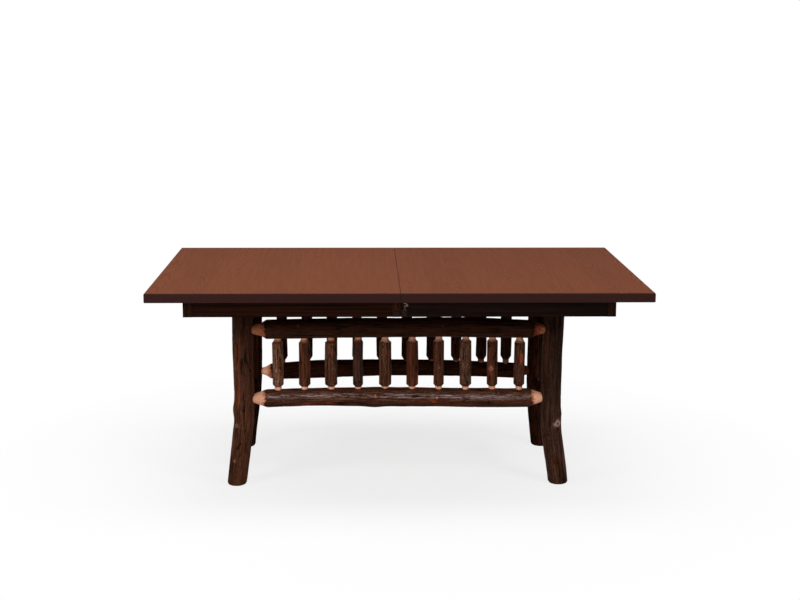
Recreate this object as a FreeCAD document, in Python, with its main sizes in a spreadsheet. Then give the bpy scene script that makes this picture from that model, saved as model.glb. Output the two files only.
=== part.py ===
import FreeCAD, Part
import math
import os
from types import SimpleNamespace

import Sketcher

# Rustic hickory extension table. Millimetres, +Z up, X along the table, front towards -Y.
# The origin is on the floor under the middle of the closed top.
# A fixed base of bark-on poles carries two geared slide sets, and each half of the top rides on them.

DRIVING_SIZES = {
    "table_height": (762, "floor to the upper face of the top"),
    "top_length": (1750, "both halves closed, end to end"),
    "top_width": (1067, "front edge to back edge"),
    "top_thickness": (33, "solid boards of the top"),
    "top_arris": (6, "rounding of the upper outer edges"),
    "under_arris": (2, "rounding of the lower outer edges"),
    "seam_arris": (0.8, "small bevel along the seam"),
    "seam_gap": (0.6, "between the two closed halves"),
    "half_travel": (305, "how far each half slides out"),
    "apron_end_inset": (125, "top end to the apron end"),
    "apron_front_inset": (60, "top edge to the apron face"),
    "apron_drop": (61, "height of the apron boards"),
    "apron_thickness": (20, "apron board"),
    "apron_setback": (2, "board face behind the post face"),
    "post_width": (32, "square corner post of the apron"),
    "post_arris": (2, "bevel on the upright edges of a post"),
    "seam_block_width": (25.7, "block that ends an apron at the seam"),
    "seam_block_depth": (30, "block front to back"),
    "seam_block_setback": (0.3, "block behind the seam face of its half"),
    "tongue_thickness": (8, "tongue on an apron end"),
    "tongue_length": (9, "tongue into a post"),
    "tongue_shoulder": (12, "board above and below a tongue"),
    "wood_clearance": (0.3, "play round tenons, tongues and pins in wood"),
    "bearer_overhang": (55, "cross bearer past the leg axes"),
    "bearer_screw_spread": (22.5, "bearer screw each side of the leg axis"),
    "bearer_width": (90, "cross bearer along the table"),
    "bearer_thickness": (25, "cross bearer board"),
    "slide_height": (38, "bearer to the underside of the top"),
    "slide_gap": (1, "slide members above the bearer and below the top"),
    "slide_inset": (75, "slide set inside the leg axes, along Y"),
    "centre_overhang": (12, "fixed slide member past the cross bearers"),
    "runner_thickness": (28, "sliding member"),
    "runner_clearance": (0.4, "between sliding and fixed members"),
    "runner_lip": (3, "runner past its rack recess"),
    "runner_screw_edge": (30, "runner screw to the recess, the slot or the runner's end"),
    "runner_end_gap": (5, "runner end to the end apron"),
    "groove_rise": (11, "middle of the dovetail groove above the bearer"),
    "groove_mouth": (6, "dovetail groove at the face"),
    "groove_root": (10, "dovetail groove at its floor"),
    "groove_depth": (8, "dovetail groove into the member"),
    "gear_rise": (25.5, "middle of the pinion above the bearer"),
    "gear_module": (2, "tooth size of pinion and rack"),
    "gear_teeth": (20, "teeth of the pinion"),
    "gear_width": (10, "pinion thickness"),
    "gear_proud": (4, "pinion's pitch line outside the fixed member"),
    "gear_backlash": (0.25, "play between the teeth along the pitch line"),
    "gear_spread": (0.1, "rack pitch line beyond the pinion's"),
    "gear_room": (1.7, "mortise above the pinion"),
    "gear_side_room": (2, "mortise past the pinion's teeth"),
    "rack_backing": (3.2, "rack behind its teeth"),
    "rack_margin": (24, "rack past the pinion at both ends of the travel"),
    "pinion_pin_radius": (4, "steel pin that the pinion turns on"),
    "running_clearance": (0.05, "radial play of a running fit"),
    "pinion_pin_foot": (12, "pin below the pinion"),
    "stop_pin_radius": (4, "dowel that ends a runner's travel"),
    "stop_pin_depth": (12, "dowel into the bearer"),
    "stop_slot_depth": (7, "slot in the underside of a runner"),
    "stop_play": (0.5, "dowel to the slot end at a limit"),
    "leg_inset": (312, "end of the top to the upper leg axis, along X"),
    "frame_inset": (298.5, "edge of the top to the upper leg axis, along Y"),
    "leg_radius": (37.5, "leg at its upper end"),
    "foot_radius": (36, "leg at the floor"),
    "foot_arris": (5, "rounding of the foot"),
    "flare_height": (277, "where the legs begin to bend outwards"),
    "foot_kick": (28, "foot outside the leg axis, along X"),
    "foot_splay": (17, "foot outside the leg axis, along Y"),
    "leg_tenon_radius": (19, "round tenon on top of a leg"),
    "rail_radius": (36, "upper rails under their bark"),
    "lower_rail_radius": (34, "lower rails"),
    "end_rail_radius": (31, "rails across the ends"),
    "rail_peel": (46.5, "peeled end of a long rail, bark to leg"),
    "rail_shoulder_radius": (24.5, "peeled wood where the bark stops"),
    "rail_bevel": (17, "slope from bark to peeled wood"),
    "rail_tenon_radius": (17.5, "long rail tenon in the leg"),
    "end_peel": (45.5, "peeled end of an end rail, bark to leg"),
    "end_shoulder_radius": (22, "peeled wood where the bark of an end rail stops"),
    "end_tenon_radius": (15, "end rail tenon in the leg"),
    "tenon_reach": (12, "tenon past the axis of the leg"),
    "front_top_drop": (90, "underside of the bearers to the front upper rail axis at its ends"),
    "back_top_drop": (89, "underside of the bearers to the back upper rail axis at its ends"),
    "front_bottom_rail": (319.5, "floor to the front lower rail axis at its ends"),
    "back_bottom_rail": (311, "floor to the back lower rail axis at its ends"),
    "end_rail_drop": (46, "end rails below the front ones"),
    "spindle_radius": (20.5, "spindle with its bark"),
    "spindle_shoulder": (18, "peeled wood where the bark stops"),
    "spindle_tenon": (12.5, "spindle tenon radius"),
    "taper_clear": (0.5, "end of a spindle's peeled taper to the upper rail"),
    "spindle_bevel": (1.5, "slope from bark to peeled wood"),
    "front_chamfer": (8, "slope from bark to the lower tenon, front and ends"),
    "back_chamfer": (14, "slope from bark to the lower tenon, back"),
    "spindle_room": (10, "spindle bore to the rail axis"),
    "front_spindle_edge": (40.25, "end of the rail's bark to the outer front spindle"),
    "back_spindle_edge": (34.85, "end of the rail's bark to the outer back spindle"),
    "back_shift": (-5, "middle of the back spindles along X"),
    "front_bark_gap": (18.5, "lower rail to the bark of a front spindle"),
    "back_bark_gap": (26.5, "lower rail to the bark of a back spindle"),
    "front_gap_high": (12.5, "spindle bark to the upper rail, front and ends"),
    "back_gap_high": (8.5, "spindle bark to the upper rail, back"),
    "screw_radius": (2.5, "wood screw shank"),
    "screw_head_radius": (5, "countersunk head"),
    "screw_head_height": (3, "countersunk head"),
    "screw_point": (5, "point of a wood screw"),
    "screw_play": (0.2, "round a screw"),
    "runner_screw_grip": (18, "screw into the top"),
    "bearer_screw_grip": (24, "screw into the fixed member"),
    "dowel_radius": (5, "alignment dowel at the seam"),
    "dowel_depth": (20, "dowel into each half"),
    "dowel_spacing": (400, "outer alignment dowels from the middle line"),
    "lock_rise": (18, "pivot of the seam hook above the apron's lower edge"),
    "lock_pivot": (14.5, "pivot from the seam"),
    "lock_reach": (26, "pivot to the keeper stud"),
    "plate_width": (20, "hook plate"),
    "plate_height": (22, "hook plate"),
    "plate_below": (15.4, "hook plate under its pivot"),
    "plate_screw_spread": (5, "hook plate screw each side of the pivot"),
    "plate_screw_drop": (11, "hook plate screws under the pivot"),
    "plate_thickness": (2.3, "hook plate"),
    "keeper_width": (14, "keeper plate"),
    "keeper_height": (24, "keeper plate"),
    "keeper_thickness": (1.5, "keeper plate"),
    "keeper_screw_spread": (8, "keeper screw above and below the stud"),
    "hook_thickness": (2.2, "swinging hook"),
    "hook_standoff": (3.2, "hook in front of the seam blocks"),
    "hook_stem": (7, "width of the hook's stem"),
    "hook_hub_radius": (5.5, "hook round its pivot"),
    "hook_tab": (10.5, "thumb tab, sideways from the middle of the stem"),
    "beak_length": (6, "beak past the middle of the stud"),
    "beak_thickness": (3, "beak outside the stud"),
    "rivet_radius": (2.5, "pivot rivet and keeper stud"),
    "rivet_head_radius": (4.5, "head and collar of the pivot rivet"),
    "stud_head_radius": (4, "head of the keeper stud"),
    "rivet_head_height": (1.5, "heads of rivet and stud"),
    "small_screw_radius": (1.2, "lock screw shank"),
    "small_screw_head": (2.4, "lock screw head radius"),
    "small_screw_crown": (1.7, "radius on top of a lock screw's head"),
    "small_screw_head_height": (1.1, "lock screw head"),
    "small_screw_length": (12, "lock screw under its head"),
}

LONG_SPINDLES = 10
END_SPINDLES = 3
HOOK_REST_ANGLE = 84
PRESSURE_ANGLE = math.radians(20)
# Depth of a tooth below the pitch line and height of a rack tooth above it, as shares of the module.
DEDENDUM = 1.25
RACK_ADDENDUM = 0.9
# A cutter that has to leave a round pole reaches this many of its radii from the axis.
CUTTER_REACH = 1.5

# Each natural rail is a row of evenly spaced stations over its bark, left to right or front to back:
# lift in mm above the straight line between its ends, and girth as a share of its radius.
FRONT_TOP_SHAPE = ((0, 0.98), (3, 1.0), (5, 1.0), (6, 0.98), (8, 1.01), (5, 0.97), (0, 0.93))
FRONT_BOTTOM_SHAPE = ((0, 0.95), (5, 0.95), (5, 1.0), (4, 1.04), (2, 1.0), (0, 1.02), (0, 1.0))
BACK_TOP_SHAPE = ((0, 0.95), (3, 1.0), (4, 0.99), (5, 0.97), (4, 0.99), (2, 1.0), (0, 0.96))
BACK_BOTTOM_SHAPE = ((0, 0.94), (7, 1.02), (11, 0.98), (13, 0.95), (12, 0.92), (7, 0.88), (0, 0.87))
LEFT_TOP_SHAPE = ((0, 0.97), (1, 1.0), (2, 1.01), (1, 0.98), (0, 0.95))
LEFT_BOTTOM_SHAPE = ((0, 1.0), (-1, 0.97), (-1, 0.98), (0, 1.01), (0, 0.99))
RIGHT_TOP_SHAPE = ((0, 0.95), (1, 0.98), (2, 1.0), (2, 1.01), (0, 0.97))
RIGHT_BOTTOM_SHAPE = ((0, 0.98), (1, 1.01), (2, 1.01), (1, 0.98), (0, 0.98))

LEVELS = ("top", "bottom")
# Spindles run down from an upper rail and up from a lower one.
LEVEL_DIRECTIONS = (-1, 1)
LEG_STATIONS = 8
# How quickly a leg's bend gathers towards the floor.
FLARE_POWER = 1.3
# Girth of the ten front spindles, left to right, as a share of the spindle's radius.
FRONT_GIRTHS = (1.0, 1.02, 1.1, 0.91, 1.08, 1.04, 0.96, 1.02, 0.95, 0.97)
BACK_GIRTHS = (1.0, 1.02, 1.0, 0.92, 1.0, 1.0, 1.02, 1.03, 1.0, 1.03)
END_GIRTHS = (0.97, 0.94, 0.99)


class Size:
    """A number kept together with the sheet formula that gives it."""

    def __init__(self, value, text):
        self.value = value
        self.text = text

    def __add__(self, other):
        other = as_size(other)
        return Size(self.value + other.value, f"({self.text} + {other.text})")

    def __sub__(self, other):
        other = as_size(other)
        return Size(self.value - other.value, f"({self.text} - {other.text})")

    def __mul__(self, other):
        other = as_size(other)
        return Size(self.value * other.value, f"({self.text} * {other.text})")

    def __truediv__(self, other):
        other = as_size(other)
        return Size(self.value / other.value, f"({self.text} / {other.text})")

    def __neg__(self):
        return self * -1

    __rmul__ = __mul__


def as_size(number):
    """Give a plain number the same form as a sheet size."""
    if isinstance(number, Size):
        return number
    return Size(float(number), f"({float(number)!r})")


doc = FreeCAD.newDocument("hickory_table")
sheet = doc.addObject("Spreadsheet::Sheet", "sizes")
for row, (alias, (number, note)) in enumerate(DRIVING_SIZES.items(), 1):
    sheet.set(f"A{row}", note)
    sheet.set(f"B{row}", str(number))
    sheet.setAlias(f"B{row}", alias)
doc.recompute()
S = SimpleNamespace()
for alias in DRIVING_SIZES:
    setattr(S, alias, Size(float(getattr(sheet, alias)), f"sizes.{alias}"))

# Places that several pieces share.
TOP_UNDER = S.table_height - S.top_thickness
HALF_LENGTH = S.top_length / 2
HALF_WIDTH = S.top_width / 2
SEAM_FACE = S.seam_gap / 2
POST_END = HALF_LENGTH - S.apron_end_inset
POST_FRONT = HALF_WIDTH - S.apron_front_inset
APRON_LOW = TOP_UNDER - S.apron_drop
LEG_X = HALF_LENGTH - S.leg_inset
FRAME_Y = HALF_WIDTH - S.frame_inset
BEARER_TOP = TOP_UNDER - S.slide_height
BEARER_UNDER = BEARER_TOP - S.bearer_thickness
BEARER_END = FRAME_Y + S.bearer_overhang

# The slide sets, measured from the middle of a set.
SLIDE_Y = FRAME_Y - S.slide_inset
PITCH_RADIUS = S.gear_module * S.gear_teeth / 2
CENTRE_FACE = PITCH_RADIUS - S.gear_proud
CENTRE_END = LEG_X + S.bearer_width / 2 + S.centre_overhang
CENTRE_HIGH = TOP_UNDER - S.slide_gap
GROOVE_MIDDLE = BEARER_TOP + S.groove_rise
RUNNER_LOW = BEARER_TOP + S.slide_gap
RUNNER_FACE = CENTRE_FACE + S.runner_clearance
RUNNER_MIDDLE = RUNNER_FACE + S.runner_thickness / 2
RUNNER_END = POST_END - S.apron_thickness - S.apron_setback - S.runner_end_gap
RECESS_NEAR = S.rack_margin + S.wood_clearance
RECESS_FAR = S.half_travel + RECESS_NEAR
RUNNER_OVERLAP = RECESS_FAR + S.runner_lip
SLOT_NEAR = LEG_X - S.half_travel - S.stop_pin_radius - S.stop_play
SLOT_FAR = LEG_X + S.stop_pin_radius + S.stop_play
GEAR_LOW = BEARER_TOP + S.gear_rise - S.gear_width / 2
GEAR_HIGH = GEAR_LOW + S.gear_width
RACK_PITCH_LINE = PITCH_RADIUS + S.gear_spread
RACK_ROOT = RACK_PITCH_LINE + S.gear_module * DEDENDUM
RACK_BACK = RACK_ROOT + S.rack_backing

# The pole frame.
FRONT_TOP_RAIL = BEARER_UNDER - S.front_top_drop
BACK_TOP_RAIL = BEARER_UNDER - S.back_top_drop
RAIL_BARK_HALF = LEG_X - S.leg_radius - S.rail_peel
END_BARK_HALF = FRAME_Y - S.leg_radius - S.end_peel
FRONT_PITCH = (RAIL_BARK_HALF - S.front_spindle_edge) * 2 / (LONG_SPINDLES - 1)
BACK_PITCH = (RAIL_BARK_HALF - S.back_spindle_edge) * 2 / (LONG_SPINDLES - 1)
END_PITCH = (FRAME_Y - S.leg_radius) * 2 / (END_SPINDLES + 1)

RAIL_HEIGHTS = {
    "front": (FRONT_TOP_RAIL, S.front_bottom_rail),
    "back": (BACK_TOP_RAIL, S.back_bottom_rail),
}
END_RAIL_HEIGHTS = [height - S.end_rail_drop for height in RAIL_HEIGHTS["front"]]

# The seam lock.
SEAM_BLOCK_FAR = S.seam_block_setback + S.seam_block_width
LOCK_Z = APRON_LOW + S.lock_rise
STUD_X = S.lock_pivot - S.lock_reach
HOOK_INNER = POST_FRONT + S.hook_standoff
HOOK_OUTER = HOOK_INNER + S.hook_thickness

DOWEL_SHARES = (-1, 0, 1)
SIDES = (("left", -1), ("right", 1))
FACES = (("front", -1), ("back", 1))
AXIS_TURNS = {
    "x": FreeCAD.Rotation(FreeCAD.Vector(0, 1, 0), 90),
    "-x": FreeCAD.Rotation(FreeCAD.Vector(0, 1, 0), -90),
    "y": FreeCAD.Rotation(FreeCAD.Vector(1, 0, 0), -90),
    "-y": FreeCAD.Rotation(FreeCAD.Vector(1, 0, 0), 90),
    "z": FreeCAD.Rotation(),
    "-z": FreeCAD.Rotation(FreeCAD.Vector(1, 0, 0), 180),
}
ALONG_X = FreeCAD.Rotation(FreeCAD.Vector(1, 1, 1), 120)
ALONG_Y = FreeCAD.Rotation(FreeCAD.Vector(1, 1, 1), 240)
HALF_TURN = FreeCAD.Rotation(FreeCAD.Vector(0, 0, 1), 180)

nodes = []


def bind(thing, prop, size):
    """Tie a property to its formula on the sheet."""
    thing.setExpression(prop, as_size(size).text)


def new_body(label):
    """Start a sub-part of its own."""
    body = doc.addObject("PartDesign::Body", label)
    body.Label = label
    return body


def keep(thing):
    """List a finished sub-part for export."""
    nodes.append(thing)
    return thing


def place(thing, x=0, y=0, z=0, rotation=None):
    """Put a sub-part in the table's frame, its place tied to the sheet."""
    thing.Placement = FreeCAD.Placement(FreeCAD.Vector(), rotation or FreeCAD.Rotation())
    for axis, size in zip("xyz", (x, y, z)):
        bind(thing, f"Placement.Base.{axis}", size)
    return thing


def plane(body, role):
    """Find one of the body's own origin planes or axes."""
    return next(item for item in body.Origin.OriginFeatures if item.Role == role)


def attach(feature, body, role, offset, rotation=None):
    """Seat a sketch or primitive on an origin plane, its offset tied to the sheet."""
    feature.AttachmentSupport = [(plane(body, role), "")]
    feature.MapMode = "FlatFace"
    feature.AttachmentOffset = FreeCAD.Placement(FreeCAD.Vector(), rotation or FreeCAD.Rotation())
    for axis, size in zip("xyz", offset):
        bind(feature, f"AttachmentOffset.Base.{axis}", size)


def new_sketch(body, name, role, offset=(0, 0, 0)):
    """Open a sketch on one of the body's origin planes."""
    sketch = body.newObject("Sketcher::SketchObject", name)
    attach(sketch, body, role, offset)
    return sketch


def hold(sketch, kind, geometry, point, size):
    """Dimension a sketch point from the origin with a formula of the sheet."""
    index = sketch.addConstraint(Sketcher.Constraint(kind, -1, 1, geometry, point, size.value))
    sketch.setExpression(f"Constraints[{index}]", size.text)


def draw_outline(sketch, corners):
    """Close a polygon, each corner dimensioned from the sketch's origin."""
    corners = [(as_size(x), as_size(y)) for x, y in corners]
    points = [FreeCAD.Vector(x.value, y.value, 0) for x, y in corners]
    count = len(points)
    for index in range(count):
        sketch.addGeometry(Part.LineSegment(points[index], points[(index + 1) % count]))
    for index, (x, y) in enumerate(corners):
        sketch.addConstraint(Sketcher.Constraint("Coincident", index, 2, (index + 1) % count, 1))
        hold(sketch, "DistanceX", index, 1, x)
        hold(sketch, "DistanceY", index, 1, y)


def draw_circle(sketch, x, y, radius):
    """Draw a circle with its centre and radius tied to the sheet."""
    x, y, radius = as_size(x), as_size(y), as_size(radius)
    centre = FreeCAD.Vector(x.value, y.value, 0)
    sketch.addGeometry(Part.Circle(centre, FreeCAD.Vector(0, 0, 1), radius.value))
    hold(sketch, "DistanceX", 0, 3, x)
    hold(sketch, "DistanceY", 0, 3, y)
    index = sketch.addConstraint(Sketcher.Constraint("Radius", 0, radius.value))
    sketch.setExpression(f"Constraints[{index}]", radius.text)


def block(body, name, first, second, cut=False):
    """Add or cut a box between two opposite corners."""
    kind = "PartDesign::SubtractiveBox" if cut else "PartDesign::AdditiveBox"
    feature = body.newObject(kind, name)
    corners = [(as_size(a), as_size(b)) for a, b in zip(first, second)]
    pairs = [sorted(corner, key=lambda size: size.value) for corner in corners]
    attach(feature, body, "XY_Plane", [low for low, high in pairs])
    for prop, (low, high) in zip(("Length", "Width", "Height"), pairs):
        bind(feature, prop, high - low)
    return feature


def rod(body, name, start, axis, length, radius, cut=False):
    """Add or bore a cylinder from a start point along a signed axis."""
    kind = "PartDesign::SubtractiveCylinder" if cut else "PartDesign::AdditiveCylinder"
    feature = body.newObject(kind, name)
    attach(feature, body, "XY_Plane", start, AXIS_TURNS[axis])
    bind(feature, "Radius", radius)
    bind(feature, "Height", length)
    return feature


def taper(body, name, start, axis, length, first_radius, last_radius, cut=False):
    """Add or cut a cone from a start point along a signed axis."""
    kind = "PartDesign::SubtractiveCone" if cut else "PartDesign::AdditiveCone"
    feature = body.newObject(kind, name)
    attach(feature, body, "XY_Plane", start, AXIS_TURNS[axis])
    bind(feature, "Radius1", first_radius)
    bind(feature, "Radius2", last_radius)
    bind(feature, "Height", length)
    return feature


def turn_profile(body, name, profile):
    """Revolve (radius, height) points about the body's Z axis."""
    sketch = new_sketch(body, name + "_profile", "XZ_Plane")
    draw_outline(sketch, profile)
    feature = body.newObject("PartDesign::Revolution", name)
    feature.Profile = sketch
    feature.ReferenceAxis = (plane(body, "Z_Axis"), [""])
    feature.Angle = 360
    return feature


def round_edges(body, name, kind, size, wanted):
    """Fillet or chamfer the edges that a test picks out."""
    doc.recompute()
    tip = body.Tip
    picked = [f"Edge{number}" for number, edge in enumerate(tip.Shape.Edges, 1) if wanted(edge)]
    feature = body.newObject(f"PartDesign::{kind}", name)
    feature.Base = (tip, picked)
    bind(feature, "Radius" if kind == "Fillet" else "Size", size)
    return feature


def group(label, members):
    """Join like pieces into one node, each still a solid of its own."""
    compound = doc.addObject("Part::Compound", label)
    compound.Label = label
    compound.Links = members
    compound.Placement = FreeCAD.Placement()
    return keep(compound)


def upright(edge):
    """True for a straight vertical edge."""
    box = edge.BoundBox
    return box.XLength < 0.01 and box.YLength < 0.01


# The top: two panels that meet at the seam.

def runner_rows(side):
    """Middle lines of the two runners of one half, as y places."""
    return [SLIDE_Y * face + RUNNER_MIDDLE * side for face_name, face in FACES]


def screw_places(side):
    """Runner screws along X, away from the stop slot and past the rack."""
    edge = S.runner_screw_edge
    places = (RECESS_NEAR + edge, SLOT_NEAR - edge, SLOT_FAR + edge, RUNNER_END - edge)
    return [along * side for along in places]


def runner_screw_spots(side):
    """Every runner screw under one half as (x, y)."""
    return [(x, y) for y in runner_rows(side) for x in screw_places(side)]


def make_top(name, side):
    """One half of the top with its dowel holes and screw pilot holes."""
    body = new_body(f"top_{name}")
    first = (SEAM_FACE * side, -HALF_WIDTH, TOP_UNDER)
    block(body, "panel", first, (HALF_LENGTH * side, HALF_WIDTH, S.table_height))
    seam_x = SEAM_FACE.value * side
    top_z = S.table_height.value

    def outer(edge, height):
        box = edge.BoundBox
        away_from_seam = max(abs(box.XMin - seam_x), abs(box.XMax - seam_x)) > 1
        return away_from_seam and abs(box.ZMin - height) < 0.01 and abs(box.ZMax - height) < 0.01

    def at_seam(edge):
        box = edge.BoundBox
        return abs(box.XMin - seam_x) < 0.01 and abs(box.XMax - seam_x) < 0.01

    def outer_corner(edge):
        return upright(edge) and not at_seam(edge)

    def upper_seam(edge):
        return at_seam(edge) and edge.BoundBox.ZMin > top_z - 0.01

    round_edges(body, "corners", "Fillet", S.top_arris, outer_corner)
    round_edges(body, "upper_arris", "Fillet", S.top_arris, lambda edge: outer(edge, top_z))
    round_edges(body, "lower_arris", "Fillet", S.under_arris, lambda edge: outer(edge, TOP_UNDER.value))
    round_edges(body, "seam_bevel", "Chamfer", S.seam_arris, upper_seam)
    middle = TOP_UNDER + S.top_thickness / 2
    outwards = "x" if side > 0 else "-x"
    depth = S.dowel_depth + S.wood_clearance
    bore = S.dowel_radius + S.wood_clearance
    for number, share in enumerate(DOWEL_SHARES, 1):
        start = (0, S.dowel_spacing * share, middle)
        rod(body, f"dowel_hole_{number}", start, outwards, depth, bore, cut=True)
    depth = S.runner_screw_grip + S.screw_play
    bore = S.screw_radius + S.screw_play
    for number, (x, y) in enumerate(runner_screw_spots(side), 1):
        rod(body, f"pilot_{number}", (x, y, TOP_UNDER), "z", depth, bore, cut=True)
    return keep(body)


# The apron: boards with tongues, corner posts and seam blocks.

TONGUE_LOW = APRON_LOW + S.tongue_shoulder
TONGUE_HIGH = TOP_UNDER - S.tongue_shoulder
BOARD_FACE = POST_FRONT - S.apron_setback
BOARD_MIDDLE = BOARD_FACE - S.apron_thickness / 2
END_BOARD_FACE = POST_END - S.apron_setback
END_BOARD_MIDDLE = END_BOARD_FACE - S.apron_thickness / 2
POST_INNER_X = POST_END - S.post_width
POST_INNER_Y = POST_FRONT - S.post_width


def make_long_apron(face_name, face, side_name, side):
    """A front or back apron board of one half, from its seam block to its corner post."""
    body = new_body(f"apron_{face_name}_{side_name}")
    first = (SEAM_BLOCK_FAR * side, (BOARD_FACE - S.apron_thickness) * face, APRON_LOW)
    block(body, "board", first, (POST_INNER_X * side, BOARD_FACE * face, TOP_UNDER))
    half = S.tongue_thickness / 2
    ends = (("seam", SEAM_BLOCK_FAR, -S.tongue_length), ("corner", POST_INNER_X, S.tongue_length))
    for name, root, reach in ends:
        first = (root * side, (BOARD_MIDDLE - half) * face, TONGUE_LOW)
        second = ((root + reach) * side, (BOARD_MIDDLE + half) * face, TONGUE_HIGH)
        block(body, f"{name}_tongue", first, second)
    return keep(body)


def make_end_apron(side_name, side):
    """The apron board across one end, between its two corner posts."""
    body = new_body(f"apron_end_{side_name}")
    first = ((END_BOARD_FACE - S.apron_thickness) * side, -POST_INNER_Y, APRON_LOW)
    block(body, "board", first, (END_BOARD_FACE * side, POST_INNER_Y, TOP_UNDER))
    half = S.tongue_thickness / 2
    for face_name, face in FACES:
        first = ((END_BOARD_MIDDLE - half) * side, POST_INNER_Y * face, TONGUE_LOW)
        second = ((END_BOARD_MIDDLE + half) * side, (POST_INNER_Y + S.tongue_length) * face, TONGUE_HIGH)
        block(body, f"{face_name}_tongue", first, second)
    return keep(body)


def make_corner_post(side_name, side, face_name, face):
    """A square corner post, mortised for the two apron boards that meet in it."""
    body = new_body(f"corner_post_{side_name}_{face_name}")
    first = (POST_INNER_X * side, POST_INNER_Y * face, APRON_LOW)
    block(body, "post", first, (POST_END * side, POST_FRONT * face, TOP_UNDER))
    round_edges(body, "edges", "Chamfer", S.post_arris, upright)
    half = S.tongue_thickness / 2 + S.wood_clearance
    reach = S.tongue_length + S.wood_clearance
    low = TONGUE_LOW - S.wood_clearance
    high = TONGUE_HIGH + S.wood_clearance
    first = (POST_INNER_X * side, (BOARD_MIDDLE - half) * face, low)
    second = ((POST_INNER_X + reach) * side, (BOARD_MIDDLE + half) * face, high)
    block(body, "long_mortise", first, second, cut=True)
    first = ((END_BOARD_MIDDLE - half) * side, POST_INNER_Y * face, low)
    second = ((END_BOARD_MIDDLE + half) * side, (POST_INNER_Y + reach) * face, high)
    block(body, "end_mortise", first, second, cut=True)
    return body


def lock_screw_spots(side):
    """The two small screws of a hook plate or a keeper plate as (x, z)."""
    if side > 0:
        return [(S.lock_pivot + S.plate_screw_spread * sign, LOCK_Z - S.plate_screw_drop) for sign in (-1, 1)]
    return [(STUD_X, LOCK_Z + S.keeper_screw_spread * sign) for sign in (-1, 1)]


def make_seam_block(side_name, side, face_name, face):
    """The block that ends a long apron at the seam and carries the lock metalwork."""
    body = new_body(f"seam_block_{side_name}_{face_name}")
    back = POST_FRONT - S.seam_block_depth
    first = (S.seam_block_setback * side, back * face, APRON_LOW)
    block(body, "block", first, (SEAM_BLOCK_FAR * side, POST_FRONT * face, TOP_UNDER))
    half = S.tongue_thickness / 2 + S.wood_clearance
    first = (SEAM_BLOCK_FAR * side, (BOARD_MIDDLE - half) * face, TONGUE_LOW - S.wood_clearance)
    mouth = SEAM_BLOCK_FAR - S.tongue_length - S.wood_clearance
    second = (mouth * side, (BOARD_MIDDLE + half) * face, TONGUE_HIGH + S.wood_clearance)
    block(body, "mortise", first, second, cut=True)
    inward = "y" if face < 0 else "-y"
    bore = S.small_screw_radius + S.screw_play
    depth = S.small_screw_length + S.screw_play
    for number, (x, z) in enumerate(lock_screw_spots(side), 1):
        rod(body, f"pilot_{number}", (x, POST_FRONT * face, z), inward, depth, bore, cut=True)
    return body


# The slides: fixed members on the bearers, runners under the halves, geared together.

def make_centre_member(face_name, face):
    """The fixed member of a slide set, grooved on both sides and mortised for its pinion."""
    body = new_body(f"slide_centre_{face_name}")
    sketch = new_sketch(body, "section", "YZ_Plane", (0, 0, -CENTRE_END))
    half = CENTRE_FACE
    floor = half - S.groove_depth
    mouth = S.groove_mouth / 2
    root = S.groove_root / 2
    right_side = [
        (half, BEARER_TOP), (half, GROOVE_MIDDLE - mouth), (floor, GROOVE_MIDDLE - root),
        (floor, GROOVE_MIDDLE + root), (half, GROOVE_MIDDLE + mouth), (half, CENTRE_HIGH),
    ]
    left_side = [(-y, z) for y, z in reversed(right_side)]
    draw_outline(sketch, right_side + left_side)
    pad = body.newObject("PartDesign::Pad", "member")
    pad.Profile = sketch
    bind(pad, "Length", CENTRE_END * 2)
    room = PITCH_RADIUS + S.gear_module + S.gear_side_room
    first = (-room, -half, GEAR_LOW - S.wood_clearance)
    block(body, "pinion_mortise", first, (room, half, GEAR_HIGH + S.gear_room), cut=True)
    pin_low = GEAR_LOW - S.pinion_pin_foot
    bore = S.pinion_pin_radius + S.running_clearance
    rod(body, "pin_bore", (0, 0, pin_low), "z", CENTRE_HIGH - pin_low, bore, cut=True)
    depth = S.bearer_screw_grip + S.screw_play
    bore = S.screw_radius + S.screw_play
    for number, x in enumerate(bearer_screw_places(), 1):
        rod(body, f"pilot_{number}", (x, 0, BEARER_TOP), "z", depth, bore, cut=True)
    place(body, y=SLIDE_Y * face)
    return keep(body)


def bearer_screw_places():
    """Screws that hold a fixed member to the two bearers, along X."""
    spread = S.bearer_screw_spread
    return [(LEG_X + spread * sign) * side for side_name, side in SIDES for sign in (-1, 1)]


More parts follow.
